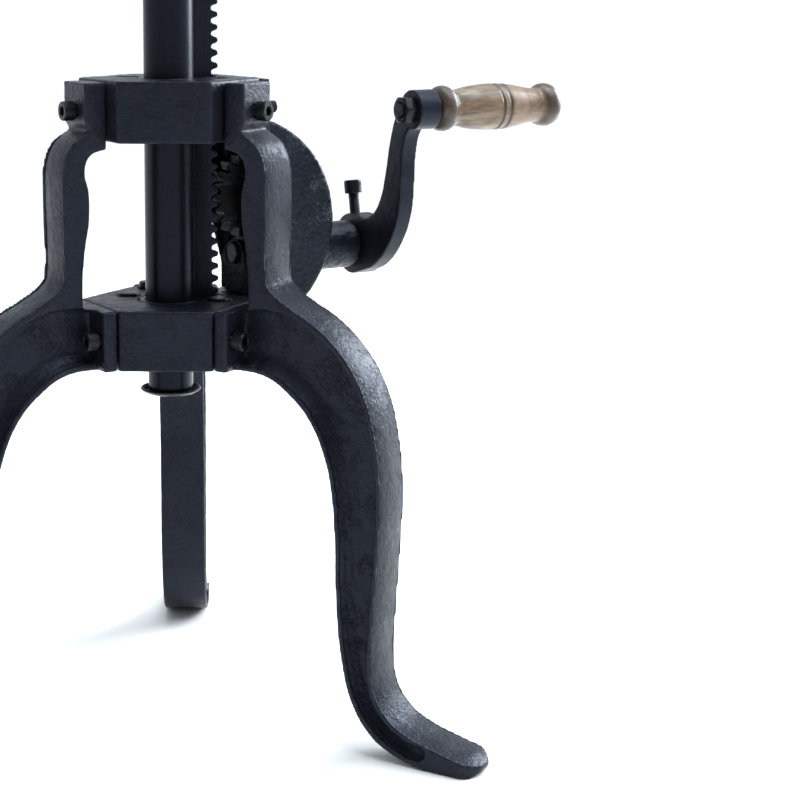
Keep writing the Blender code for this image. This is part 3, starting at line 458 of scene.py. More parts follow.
def painted_iron(name, dark, light, rough_low, rough_high, bump, grain=1.0, peel=0.6,
                 shine=0.25):
    """Blue-black paint over sand casting, thin and greyer on edges and lumps; in patches it
    has run or peeled, which peel deepens."""
    w = Wiring(name)
    broad = w.noise(24, 5, 0.6)
    middle = w.noise(210 * grain, 4, 0.6)
    fine = w.noise(1150 * grain, 3, 0.65)
    cells = w.add("ShaderNodeTexVoronoi", {"feature": "SMOOTH_F1"}, Vector=w.where,
                  Scale=420 * grain).outputs["Distance"]
    patches = w.remap(w.noise(46, 3, 0.5, warp=0.7), 0.50, 0.60)
    runs = w.remap(w.noise(300 * grain, 5, 0.68, warp=1.4), 0.50, 0.56)
    peeled = w.times(patches, runs)
    pits = w.times(w.remap(cells, 0.20, 0.10), w.remap(middle, 0.48, 0.60))
    colour = w.mix(w.remap(broad, 0.35, 0.7), dark, light)
    edge = w.add("ShaderNodeNewGeometry").outputs["Pointiness"]
    worn = w.times(w.remap(edge, 0.515, 0.60), w.remap(middle, 0.42, 0.62), True)
    colour = w.over(colour, (0.060, 0.066, 0.080), worn, 0.55)
    dust = w.times(w.remap(fine, 0.58, 0.72), w.remap(broad, 0.5, 0.75), True)
    colour = w.over(colour, (0.050, 0.053, 0.060), dust, 0.35)
    # painted shade: the pits are darkened as if shadowed inside
    colour = w.over(colour, (0.0025, 0.0028, 0.0035), pits, 0.7)
    gloss = w.remap(w.weighted(broad, 0.6, middle, 0.4), 0.35, 0.65, rough_low, rough_high)
    height = w.weighted(middle, 0.8, fine, 0.35)
    height = w.minus(height, w.times(cells, 0.5))
    height = w.plus(height, w.times(peeled, peel))
    height = w.minus(height, w.times(pits, 0.5))
    return w.finish(colour, gloss, height, bump, 0.0007, Specular_IOR_Level=shine,
                    Specular_Tint=PAINT_TINT)


def sprayed_tube():
    """Smooth black paint on drawn tube, with faint lengthwise streaks."""
    w = Wiring("post_paint")
    stretched = w.add("ShaderNodeMapping", Vector=w.where, Scale=(1, 1, 0.05)).outputs[0]
    streaks = w.noise(420, 4, 0.6, stretched)
    broad = w.noise(30, 3, 0.5)
    specks = w.noise(900, 3, 0.6)
    colour = w.mix(w.remap(streaks, 0.35, 0.7), (0.0054, 0.0054, 0.0080),
                   (0.0062, 0.0074, 0.0108))
    colour = w.over(colour, (0.030, 0.032, 0.038), w.remap(specks, 0.66, 0.74), 0.5)
    gloss = w.remap(w.weighted(broad, 0.5, streaks, 0.5), 0.35, 0.65, 0.24, 0.34)
    height = w.weighted(streaks, 0.6, specks, 0.2)
    return w.finish(colour, gloss, height, 0.10, 0.0003, Specular_IOR_Level=0.20,
                    Specular_Tint=PAINT_TINT)


def dark_steel(name, dark, light, rough_low, rough_high, metallic, bump, edge_wear_and_glint=0.35,
               shine=0.30):
    """Blackened or greased steel with faint streaks and handling marks; its edges are
    lightened, partly as wear and partly as painted glints.
    """
    w = Wiring(name)
    broad = w.noise(60, 4, 0.6)
    fine = w.noise(1500, 2, 0.6)
    scuffs = w.noise(340, 5, 0.7, warp=0.6)
    colour = w.mix(w.remap(broad, 0.35, 0.7), dark, light)
    edge = w.add("ShaderNodeNewGeometry").outputs["Pointiness"]
    # painted highlight: edges are lightened towards grey steel, partly wear and partly painted
    # glints along them
    worn = w.times(w.remap(edge, 0.52, 0.62), w.remap(scuffs, 0.45, 0.6), True)
    colour = w.mix(w.times(worn, edge_wear_and_glint), colour, (0.100, 0.102, 0.110))
    gloss = w.remap(scuffs, 0.35, 0.7, rough_low, rough_high)
    height = w.weighted(scuffs, 0.6, fine, 0.3)
    return w.finish(colour, gloss, height, bump, 0.0004, Metallic=metallic,
                    Specular_IOR_Level=shine, Specular_Tint=STEEL_TINT)


def bearing_bronze():
    """Bronze that has gone nearly black with oil."""
    w = Wiring("bearing_bronze")
    broad = w.noise(90, 4, 0.6)
    grime = w.noise(420, 4, 0.65)
    colour = w.mix(w.remap(broad, 0.3, 0.7), (0.030, 0.020, 0.011), (0.070, 0.047, 0.024))
    colour = w.mix(w.remap(grime, 0.40, 0.56), colour, (0.008, 0.0075, 0.0072))
    return w.finish(colour, w.remap(grime, 0.3, 0.7, 0.28, 0.5), grime, 0.3, 0.0003,
                    Metallic=0.6)


# burnt rings and darkening along the handle, as shares of its length from the crank
BURN_RINGS = ((0.4780, 0.0180), (0.5400, 0.0190))


def burnt_wood():
    """Turned hardwood: grain along the axis, scorched rings, beads and blotches."""
    w = Wiring("burnt_wood")
    origin = HANDLE.translation
    along_axis = (HANDLE.to_3x3() @ Z).normalized()
    up_axis = (HANDLE.to_3x3() @ X).normalized()
    side_axis = (HANDLE.to_3x3() @ Y).normalized()
    local = w.add("ShaderNodeVectorMath", {"operation": "SUBTRACT"}, i0=w.where,
                  i1=tuple(origin)).outputs[0]

    def component(axis):
        return w.add("ShaderNodeVectorMath", {"operation": "DOT_PRODUCT"}, i0=local,
                     i1=tuple(axis)).outputs["Value"]

    along, up, side = component(along_axis), component(up_axis), component(side_axis)
    share = w.math("DIVIDE", along, HANDLE_LENGTH)
    grain_at = w.add("ShaderNodeCombineXYZ", X=w.times(along, 0.10), Y=up, Z=side).outputs[0]
    spot_at = w.add("ShaderNodeCombineXYZ", X=w.times(along, 0.45), Y=up, Z=side).outputs[0]
    grain = w.noise(520, 6, 0.62, grain_at, 0.5)
    fibre = w.noise(2600, 3, 0.6, grain_at)
    cloud = w.noise(70, 4, 0.55, spot_at, 0.8)
    blotch = w.noise(105, 5, 0.62, spot_at, 1.2)
    colour = w.mix(w.remap(grain, 0.34, 0.68), (0.120, 0.070, 0.036), (0.275, 0.186, 0.112))
    colour = w.mix(w.remap(cloud, 0.46, 0.66), colour, (0.330, 0.245, 0.162))
    warm = w.times(w.remap(share, 0.56, 0.66), w.remap(share, 0.92, 0.80), True)
    colour = w.mix(w.times(warm, w.remap(cloud, 0.36, 0.60, 0.40, 0.85)), colour,
                   (0.180, 0.096, 0.048))
    colour = w.over(colour, (0.090, 0.052, 0.030), w.remap(fibre, 0.56, 0.70), 0.45)
    # scorching: strong on both beads and necks, fading towards the middle
    near = w.remap(share, 0.46, 0.14)
    far = w.remap(share, 0.86, 0.94)
    scorch = w.plus(w.times(near, w.remap(blotch, 0.40, 0.60)),
                    w.times(far, w.remap(blotch, 0.42, 0.60)), True)
    burn = w.times(scorch, 0.88)
    beads = w.math("MAXIMUM", w.remap(share, 0.150, 0.095), w.remap(share, 0.845, 0.875))
    burn = w.math("MAXIMUM", burn, w.times(beads, w.remap(blotch, 0.34, 0.58, 0.72, 0.96)))
    marks = w.times(w.remap(blotch, 0.56, 0.66), 0.60)
    burn = w.math("MAXIMUM", burn, marks)
    rim = w.times(w.remap(share, 0.982, 0.995), 0.9)
    burn = w.math("MAXIMUM", burn, rim)
    colour = w.mix(burn, colour, (0.040, 0.024, 0.016))
    wobble = w.times(w.minus(w.noise(180, 3, 0.5), 0.5), 0.010)
    at = w.plus(share, wobble)
    for middle, half in BURN_RINGS:
        off = w.math("ABSOLUTE", w.minus(at, middle))
        ring = w.remap(off, half * 1.15, half * 0.75)
        colour = w.over(colour, (0.022, 0.014, 0.010), ring, 0.93)
        halo = w.times(w.remap(off, half * 2.6, half * 0.8), 0.35)
        colour = w.mix(halo, colour, (0.120, 0.065, 0.032))
    gloss = w.remap(blotch, 0.35, 0.65, 0.30, 0.50)
    height = w.weighted(grain, 0.5, fibre, 0.3)
    return w.finish(colour, gloss, height, 0.35, 0.0004, Coat_Weight=0.15, Coat_Roughness=0.30)


IRON = painted_iron("cast_iron_paint", (0.0068, 0.0073, 0.0116), (0.0124, 0.0130, 0.0182),
                    0.26, 0.46, 0.70)
ROUGH_IRON = painted_iron("cast_iron_rough", (0.0072, 0.0077, 0.0120), (0.0134, 0.0146, 0.0206),
                          0.22, 0.40, 1.0, 0.8, 0.3)
SMOOTH_IRON = painted_iron("cast_iron_smooth", (0.0058, 0.0064, 0.0106),
                           (0.0090, 0.0100, 0.0150), 0.32, 0.44, 0.30, 1.4, 0.1)
TUBE_PAINT = sprayed_tube()
SCREW_STEEL = dark_steel("black_oxide", (0.0060, 0.0062, 0.0072), (0.0130, 0.0132, 0.0150),
                         0.22, 0.42, 0.25, 0.25)
GREASED = dark_steel("greased_steel", (0.0030, 0.0026, 0.0023), (0.0095, 0.0080, 0.0066),
                     0.20, 0.44, 0.05, 0.35, 0.5, 0.09)
# painted shade: a darker, duller copy of the iron paint for the worm bracket, standing in for
# the shadow inside the housing
SHADED_IRON = painted_iron("cast_iron_shaded", (0.0018, 0.0019, 0.0023),
                          (0.0046, 0.0046, 0.0050), 0.24, 0.46, 0.9, 1.0, 0.3, 0.08)
BRONZE = bearing_bronze()
WOOD = burnt_wood()


# ---- fasteners
def chamfered(radius, low, high, cut):
    """The profile of a solid rod with both ends chamfered."""
    return [(0.0, low), (radius - cut, low), (radius, low + cut), (radius, high - cut),
            (radius - cut, high), (0.0, high)]


def threaded_rod(radius, start, end, pitch, depth, sides=32, rows=6):
    """A rod whose radius follows a thread, which fades out at both ends."""
    count = max(8, int((end - start) / pitch * rows))
    heights = [start + (end - start) * k / count for k in range(count + 1)]

    def reach(k, side):
        run_out = min(1.0, min(heights[k] - start, end - heights[k]) / (1.2 * pitch))
        phase = heights[k] / pitch - side / sides
        tooth = abs(2 * (phase - floor(phase)) - 1)
        return radius - depth * (1 - tooth) * run_out - depth * 0.6 * (1 - run_out)

    return turned(heights, sides, reach)


# a knurled head's rings: share of the height, share of the radius, depth of the ribs
KNURL_LEVELS = ((0.0, 0.965, 0.0), (0.05, 0.995, 0.0), (0.11, 1.0, 0.00022),
                (0.80, 1.0, 0.00022), (0.87, 1.0, 0.0), (0.95, 0.975, 0.0), (1.0, 0.92, 0.0))
KNURL_RIBS = 34


def knurled_head(radius, height):
    """A screw head with straight ribs, plain at its rounded top and bottom edges."""
    def reach(k, side):
        _, scale, depth = KNURL_LEVELS[k]
        return radius * scale - (depth if side % 3 == 0 else 0.0)

    return turned([height * share for share, _, _ in KNURL_LEVELS], 3 * KNURL_RIBS, reach)


def steel(obj, node, body, matrix=COLUMN):
    """A piece of blackened steel, such as a screw or a nut."""
    piece(obj, node, body, SCREW_STEEL, matrix)


SCREW_PATTERNS = {}


def cap_screw(node, body, matrix, size, length):
    """Socket head cap screw, its seat at local z = 0."""
    radius, head_radius, head_height, pitch = size
    key = (*size, length)
    if key not in SCREW_PATTERNS:
        rod = threaded_rod(radius, -length, 0.0003, pitch, 0.09 * pitch + 0.28 * pitch)
        screw = combine(knurled_head(head_radius, head_height), [rod], "UNION")
        socket = cylinder(head_radius * 0.53, head_height * 0.45, head_height * 1.3, sides=6)
        lead = lathe([(0.0, head_height * 0.93), (head_radius * 0.48, head_height * 0.93),
                      (head_radius * 0.60, head_height * 1.02), (0.0, head_height * 1.02)],
                     steps=32)
        SCREW_PATTERNS[key] = combine(combine(screw, [socket]), [lead]).data
    steel(add_object("screw", SCREW_PATTERNS[key].copy()), node, body, matrix)


def hex_nut(across_corners, low, high, bore, dome=0.0012):
    """Six flats whose corners are rounded off at both faces, with a chamfered bore."""
    nut = cylinder(across_corners, low, high, sides=6)
    flats = across_corners * cos(radians(30))
    cone = lathe([(0.0, low), (flats - 0.0002, low), (across_corners + 0.0002, low + dome),
                  (across_corners + 0.0002, high - dome), (flats - 0.0002, high),
                  (0.0, high)], steps=64)
    nut = combine(nut, [cone], "INTERSECT")
    hole = lathe([(0.0, low - 0.001), (bore + 0.0012, low - 0.001), (bore, low + 0.0007),
                  (bore, high - 0.0007), (bore + 0.0012, high + 0.001), (0.0, high + 0.001)],
                 steps=48)
    return bevelled(combine(nut, [hole]), 0.00018, 2, 32)


def ring(bore, outer, low, high, cut=0.0004, steps=56):
    """A washer or bush, all four of its edges chamfered."""
    return lathe([(bore, low + cut), (bore + cut, low), (outer - cut, low), (outer, low + cut),
                  (outer, high - cut), (outer - cut, high), (bore + cut, high),
                  (bore, high - cut)], steps=steps)


def flowing(*points):
    """Outline points that the edge flows through, with no corner."""
    return [(*point, "smooth") for point in points]


# ---- legs
def leg_outline():
    """The leg's side view as (radius, height): block, arm, S-curve, foot, pad."""
    flat = COLLAR_APOTHEM + GAP
    block_top = UPPER_COLLAR_Z + COLLAR_HEIGHT - 0.0015
    return [
        (flat, block_top), (BLOCK_FACE, block_top), (BLOCK_FACE, 0.4155), (0.0665, 0.4095),
        *flowing((0.0725, 0.4078), (0.0787, 0.4039), (0.0845, 0.3956), (0.0873, 0.3850),
                 (0.0878, 0.3700), (0.0874, 0.3400), (0.0874, 0.3170), (0.0888, 0.3095),
                 (0.0940, 0.3045), (0.1040, 0.2985), (0.1250, 0.2870), (0.1460, 0.2680),
                 (0.1610, 0.2440), (0.1700, 0.2120), (0.1732, 0.1800), (0.1718, 0.1350),
                 (0.1692, 0.0920), (0.1680, 0.0620), (0.1715, 0.0430), (0.1815, 0.0295),
                 (0.1980, 0.0210), (0.2200, 0.0150), (0.2380, 0.0098), (FOOT_REACH, 0.0050)),
        (0.2385, 0.0000), (0.2040, 0.0000),
        *flowing((0.1850, 0.0045), (0.1660, 0.0150), (0.1520, 0.0350), (0.1442, 0.0620),
                 (0.1395, 0.1050), (0.1380, 0.1470), (0.1356, 0.1750), (0.1310, 0.1965),
                 (0.1190, 0.2220), (0.1040, 0.2375), (0.0860, 0.2480)),
        (0.0650, LOWER_COLLAR_Z), (flat, LOWER_COLLAR_Z), (flat, LOWER_COLLAR_TOP),
        (0.0725, LOWER_COLLAR_TOP),
        *flowing((0.0720, 0.3140), (0.0700, 0.3330), (0.0668, 0.3520), (0.0668, 0.3700),
                 (0.0695, 0.3850), (0.0655, 0.3940)),
        (flat, 0.3975),
    ]


def pocket_outline():
    """The recess on each side of the leg's web, inside its rims."""
    start = COLLAR_APOTHEM + PAD_THICKNESS - 0.004
    return [
        (start, 0.2900),
        *flowing((0.0760, 0.2925), (0.0900, 0.2930), (0.1040, 0.2895), (0.1215, 0.2810),
                 (0.1415, 0.2640), (0.1560, 0.2415), (0.1650, 0.2110), (0.1682, 0.1800),
                 (0.1668, 0.1350), (0.1642, 0.0920), (0.1630, 0.0600), (0.1668, 0.0400),
                 (0.1780, 0.0250), (0.1930, 0.0168), (0.2060, 0.0118), (0.2030, 0.0075),
                 (0.1880, 0.0095), (0.1700, 0.0195), (0.1572, 0.0375), (0.1494, 0.0630),
                 (0.1447, 0.1050), (0.1432, 0.1470), (0.1408, 0.1760), (0.1360, 0.1985),
                 (0.1230, 0.2260), (0.1075, 0.2415), (0.0880, 0.2530)),
        (start, 0.2565),
    ]


# how far each step of the recess is drawn in, and its share of the full depth
POCKET_STEPS = ((0.0, 0.34), (0.0018, 0.62), (0.0036, 0.84), (0.0056, 1.0))
OUTER_RIM_POINTS = 15
FLANGE_CROWN, FLANGE_CROWN_RIGHT = 0.0028, 0.0012
OUTER_RIM_DRAFT = 0.35


def pocket_step(inset):
    """The recess outline drawn in, less along its outer rim: a wall with draft and fillet."""
    outline = pocket_outline()
    moved = []
    for k, point in enumerate(outline):
        before, after = outline[k - 1], outline[(k + 1) % len(outline)]
        run, rise = after[0] - before[0], after[1] - before[1]
        amount = inset / hypot(run, rise) * (OUTER_RIM_DRAFT if k < OUTER_RIM_POINTS else 1)
        moved.append((point[0] + rise * amount, point[1] - run * amount, *point[2:]))
    return moved


def leg_roughness(point, normal):
    """Faces that look outwards and up keep more of the sand's grain."""
    return 0.45 + 1.2 * max(0.0, normal.x, normal.z)


def leg_crown(point, normal):
    """The outer rim falls away towards both its edges, except on the bolted block."""
    facing = min(1.0, max(0.0, 2 * max(normal.x, normal.z) - 0.6))
    beyond = min(1.0, max(0.0, (point.x - BLOCK_FACE) / 0.006))
    depth = FLANGE_CROWN if point.y < 0 else FLANGE_CROWN_RIGHT
    return depth * facing * beyond * (point.y / (LEG_WIDTH / 2)) ** 2


def leg_solid():
    """The sharp solid that all three legs share: outline, toe, recesses, pad, bolt holes."""
    leg = plate(leg_outline(), LEG_WIDTH, UPRIGHT)
    toe_radius = LEG_WIDTH / 2
    toe = [(0.03, toe_radius), (0.03, -toe_radius)]
    toe += [(FOOT_REACH + 0.0004 - toe_radius * 0.8 * (1 - sin(a)), toe_radius * -cos(a))
            for a in [radians(step * 5) for step in range(37)]]
    leg = combine(leg, [polygon(toe, 1.2)], "INTERSECT")
    depth = (LEG_WIDTH - WEB_THICKNESS) / 2
    for side in (1, -1):
        shift = move(0, side * (LEG_WIDTH / 2), 0)
        leg = combine(leg, [plate(pocket_step(inset), 2 * depth * share, shift @ UPRIGHT)
                            for inset, share in POCKET_STEPS])
    low = LOWER_COLLAR_Z
    pad = box((COLLAR_APOTHEM + GAP, -COLLAR_HALF_SIDE, low + 0.0002),
              (COLLAR_APOTHEM + PAD_THICKNESS, COLLAR_HALF_SIDE, low + COLLAR_HEIGHT - 0.0002))
    leg = combine(leg, [pad], "UNION")
    for offset, height in leg_bolts():
        at = radial(0, offset, height)
        leg = combine(leg, [cylinder(M8_HOLE + EASE, 0.04, 0.11, at, sides=32)])
    return leg


def leg_bolts():
    """The (sideways, height) of the two lower bolts and the upper one."""
    lower = LOWER_COLLAR_Z + COLLAR_HEIGHT / 2
    return ((LOWER_BOLT_OFFSET, lower), (-LOWER_BOLT_OFFSET, lower),
            (0, UPPER_COLLAR_Z + COLLAR_HEIGHT / 2))


def make_legs():
    pattern = leg_solid()
    for number, (name, azimuth) in enumerate(LEG_AZIMUTHS.items()):
        station = COLUMN @ turn_z(azimuth)
        copy = add_object("leg", pattern.data.copy())
        casting(copy, name, "base", IRON, station, LEG_SKIN, number + 1, leg_roughness,
                leg_crown)
        for level, (offset, height) in zip(("lower_a", "lower_b", "upper"), leg_bolts()):
            seat = BLOCK_FACE if level == "upper" else COLLAR_APOTHEM + PAD_THICKNESS
            turn = turn_z(17 * number + 23 * abs(offset) / LOWER_BOLT_OFFSET)
            at = station @ radial(seat + GAP, offset, height) @ turn
            cap_screw(f"{name}_bolt_{level}", "base", at, M8, 0.030)
    bpy.data.objects.remove(pattern)


# ---- collars
# plugs in the lower collar, as (x, y, radius, height above its top)
PLUGS = {"plug_right": (0.0335, -0.0050, 0.0074, 0.0012),
         "plug_left": (-0.0295, 0.0150, 0.0080, 0.0018),
         "plug_back": (-0.0190, 0.0455, 0.0062, 0.0045)}
PLUG_DEPTH = 0.003


def rack_slot(bottom, top):
    """What the collars and bushes leave open for the rack."""
    return box((0, -RACK_SLOT_HALF_WIDTH, bottom - 0.01),
               (RACK_SLOT_REACH, RACK_SLOT_HALF_WIDTH, top + 0.01), turn_z(DRIVE_AZIMUTH))


def make_collar(name, bottom, plug_count, seed):
    """A hexagonal collar, with recesses in its top for the first plug_count plugs."""
    corner = COLLAR_APOTHEM / cos(radians(30))
    points = [polar(corner, radians(azimuth)) for azimuth in range(0, 360, 60)]
    top, middle = bottom + COLLAR_HEIGHT, bottom + COLLAR_HEIGHT / 2
    collar = polygon(points, COLLAR_HEIGHT, move(0, 0, middle))
    collar = bevelled(collar, 0.0012, 2, 30)
    cuts = [cylinder(BUSH_RADIUS + GAP, bottom - 0.01, top + 0.01, sides=72),
            rack_slot(bottom, top)]
    offsets = (LOWER_BOLT_OFFSET, -LOWER_BOLT_OFFSET) if bottom == LOWER_COLLAR_Z else (0,)
    for azimuth in LEG_AZIMUTHS.values():
        for offset in offsets:
            at = turn_z(azimuth) @ radial(0, offset, middle)
            cuts.append(cylinder(M8_HOLE + EASE, LEG_BOLT_END[bottom], 0.06, at, sides=32))
    bolt_z = middle - HOUSING_BOLT_DROP[bottom]
    for offset in (HOUSING_BOLT_OFFSET, -HOUSING_BOLT_OFFSET):
        at = turn_z(DRIVE_AZIMUTH) @ radial(0, offset, bolt_z)
        cuts.append(cylinder(M5_HOLE + EASE, 0.038, 0.06, at, sides=24))
    for x, y, radius, _ in list(PLUGS.values())[:plug_count]:
        cuts.append(cylinder(radius + GAP + EASE, top - PLUG_DEPTH, top + 0.01, at=(x, y)))
    casting(combine(collar, cuts), name, "base", IRON, COLUMN, COLLAR_SKIN, seed,
            lambda point, normal: 0.5 + 1.2 * max(0.0, normal.z))


def make_bush(name, bottom):
    top = bottom + COLLAR_HEIGHT
    bush = ring(TUBE_RADIUS + GAP, BUSH_RADIUS, bottom + 0.001, top - 0.001, 0.0005, 72)
    piece(combine(bush, [rack_slot(bottom, top)]), name, "base", BRONZE)


def make_plugs():
    for number, (name, (x, y, radius, height)) in enumerate(PLUGS.items()):
        low, high = LOWER_COLLAR_TOP - PLUG_DEPTH + GAP, LOWER_COLLAR_TOP + height
        dome = 0.0006 if name == "plug_right" else 0.0016
        profile = [(0.0, low), (radius, low), (radius, high - dome)]
        profile += [(radius - dome * 1.4 * (1 - cos(a)), high - dome + dome * sin(a) * 0.8)
                    for a in [radians(step * 18) for step in range(1, 6)]]
        profile.append((0.0, high - 0.0001))
        plug = lathe(profile, move(x, y, 0))
        rough = 0.00035 if name == "plug_left" else 0.00008
        casting(plug, name, "base", ROUGH_IRON, COLUMN, (0.0006, 2, rough, 0.0001, rough),
                11 + number)


# ---- housing
def half_disc(radius, start, steps=72):
    """Outline in (reach, height) of the disc's part beyond a straight side."""
    span = sqrt(radius ** 2 - (start - HOUSING_CENTRE) ** 2)
    limit = atan2(span, start - HOUSING_CENTRE)
    angles = [limit - 2 * limit * step / steps for step in range(steps + 1)]
    return [(HOUSING_CENTRE + radius * cos(a), HOUSING_Z + radius * sin(a)) for a in angles]


def housing_roughness(point, normal):
    """The sleeve is the coarsest skin, then the rounded rim, then the flat sides."""
    if point.x > 0.121:
        return 1.7
    return 0.7 + 0.5 * max(0.0, normal.x, normal.z)


def cheek_outline():
    """The far side's extension as (reach, height), between the collars towards the rack."""
    low, high = LOWER_COLLAR_TOP + 0.0026, UPPER_COLLAR_Z - 0.003
    return [(0.0600, low), (0.0535, low),
            *flowing((0.0515, 0.3050), (0.0488, 0.3160), (0.0452, 0.3300), (0.0420, 0.3450),
                     (0.0405, 0.3600), (0.0400, 0.3760)),
            (0.0402, high), (0.0600, high)]


def make_worm_bearing():
    """Arched bracket that stands on the lower collar and carries the worm's inner end."""
    low, middle = LOWER_COLLAR_TOP + GAP, BEARING_TOP - BEARING_RADIUS
    arch = [(BEARING_RADIUS * cos(a), middle + BEARING_RADIUS * sin(a))
            for a in [radians(step * 4) for step in range(46)]]
    station = move((BEARING_START + BEARING_END) / 2, 0, 0) @ axes(Y, Z, X)
    block = polygon([(BEARING_RADIUS, low)] + arch + [(-BEARING_RADIUS, low)],
                    BEARING_END - BEARING_START, station)
    bore = lathe([(0.0, 0.040), (0.012, 0.040), (0.012, BEARING_START + 0.0005),
                  (SHAFT_BORE, BEARING_START + 0.0016), (SHAFT_BORE, 0.060),
                  (0.0, 0.060)], SHAFT_LOCAL)
    # painted shade: the bracket takes the darker copy of the iron paint
    casting(combine(block, [bore]), "worm_bearing", "base", SHADED_IRON, HOUSING,
            BEARING_SKIN, 23)


def make_housing():
    shell = polygon(half_disc(HOUSING_RADIUS, HOUSING_START), 2 * HOUSING_HALF_WIDTH, UPRIGHT)
    shell = bevelled(shell, 0.0016, 3, 40)
    sleeve = cylinder(SLEEVE_RADIUS, 0.108, SLEEVE_END, SHAFT_LOCAL, sides=72)
    shell = combine(shell, [sleeve], "UNION")
    for bottom in (LOWER_COLLAR_Z, UPPER_COLLAR_Z):
        pad = box((HOUSING_START, -COLLAR_HALF_SIDE, bottom + 0.001),
                  (HOUSING_START + HOUSING_PAD, COLLAR_HALF_SIDE,
                   bottom + COLLAR_HEIGHT - 0.001))
        shell = combine(shell, [pad], "UNION")
    cheek_at = move(0, (CHEEK_INNER + CHEEK_OUTER) / 2, 0) @ UPRIGHT
    cheek = plate(cheek_outline(), CHEEK_OUTER - CHEEK_INNER, cheek_at)
    shell = combine(shell, [cheek], "UNION")
    inner = HOUSING_RADIUS - HOUSING_WALL
    cavity = polygon(half_disc(inner, HOUSING_CENTRE + 0.0001),
                     2 * (HOUSING_HALF_WIDTH - HOUSING_WALL), UPRIGHT)
    keep_low, keep_high = LOWER_COLLAR_TOP + 0.002, UPPER_COLLAR_Z - 0.002
    cavity = combine(cavity, [box((0, -0.1, keep_low), (0.2, 0.1, keep_high))], "INTERSECT")
    axle = move(GEAR_REACH, 0, GEAR_Z) @ UPRIGHT
    cuts = [cavity, cylinder(SLEEVE_BORE, 0.09, 0.17, SHAFT_LOCAL, sides=56),
            cylinder(AXLE_BORE, -0.04, 0.04, axle)]
    seat = HOUSING_START + HOUSING_PAD + GAP
    for level, bottom in (("lower", LOWER_COLLAR_Z), ("upper", UPPER_COLLAR_Z)):
        bolt_z = bottom + COLLAR_HEIGHT / 2 - HOUSING_BOLT_DROP[bottom]
        for side, offset in (("a", HOUSING_BOLT_OFFSET), ("b", -HOUSING_BOLT_OFFSET)):
            at = radial(0, offset, bolt_z)
            cuts.append(cylinder(M5_HOLE + EASE, 0.05, 0.07, at, sides=24))
            seat_at = HOUSING @ radial(seat, offset, bolt_z)
            cap_screw(f"housing_bolt_{level}_{side}", "base", seat_at, M5, 0.020)
    casting(combine(shell, cuts), "gear_housing", "base", ROUGH_IRON, HOUSING, HOUSING_SKIN,
            21, housing_roughness)
    for name, start, end in (("sleeve_bush_inner", 0.1115, 0.1265),
                             ("sleeve_bush_outer", 0.1300, SLEEVE_END - 0.0005)):
        bush = ring(SHAFT_BORE, SLEEVE_BORE - GAP, start, end)
        piece(bush, name, "base", BRONZE, SHAFT)


# ---- gear train
def gear_outline():
    """Twenty rounded teeth, thinned for backlash; one points towards the rack."""
    tip, root = GEAR_RADIUS + 0.88 * MODULE, GEAR_RADIUS - 1.18 * MODULE
    # half a tooth's thickness at each radius, from root to tip
    shape = ((root, 0.00225), (GEAR_RADIUS - 0.0012, 0.00180), (GEAR_RADIUS, 0.00140),
             (GEAR_RADIUS + 0.0012, 0.00108), (tip - 0.0004, 0.00072), (tip, 0.00045))
    points = []
    for tooth in range(GEAR_TEETH):
        middle = pi + 2 * pi * tooth / GEAR_TEETH
        points += [(radius, middle - half / radius) for radius, half in shape]
        points += [(radius, middle + half / radius) for radius, half in shape[::-1]]
    return [polar(*point) for point in points]


def make_gear():
    gear = bevelled(polygon(gear_outline(), GEAR_WIDTH), 0.00025, 1, 50)
    gear = combine(gear, [cylinder(GEAR_HUB_RADIUS, -GEAR_HUB_HALF, GEAR_HUB_HALF)], "UNION")
    gear = combine(gear, [cylinder(AXLE_BORE, -0.03, 0.03)])
    piece(gear, "lift_gear", "gear", GREASED, GEAR)
    outer = HOUSING_HALF_WIDTH + GAP
    rod = lathe(chamfered(AXLE_RADIUS, -outer - 0.010, outer + 0.0005, 0.0006))
    head = lathe([(0.0, outer), (0.0088, outer), (0.009, outer + 0.0004),
                  (0.0086, outer + 0.0022), (0.0070, outer + 0.0035), (0.0, outer + 0.0040)])
    axle = combine(rod, [head], "UNION")
    steel(axle, "gear_axle", "base", GEAR)
    nut = hex_nut(0.0102, -outer - 0.0075, -outer, AXLE_BORE)
    steel(nut, "gear_axle_nut", "base", GEAR)


PIN_AT = move(0, 0, (WORM_END + WORM_HUB_END) / 2 + 0.0005) @ axes(Y, Z, X)


def pin_hole():
    return cylinder(PIN_HOLE_RADIUS, -0.02, 0.02, PIN_AT, sides=20)


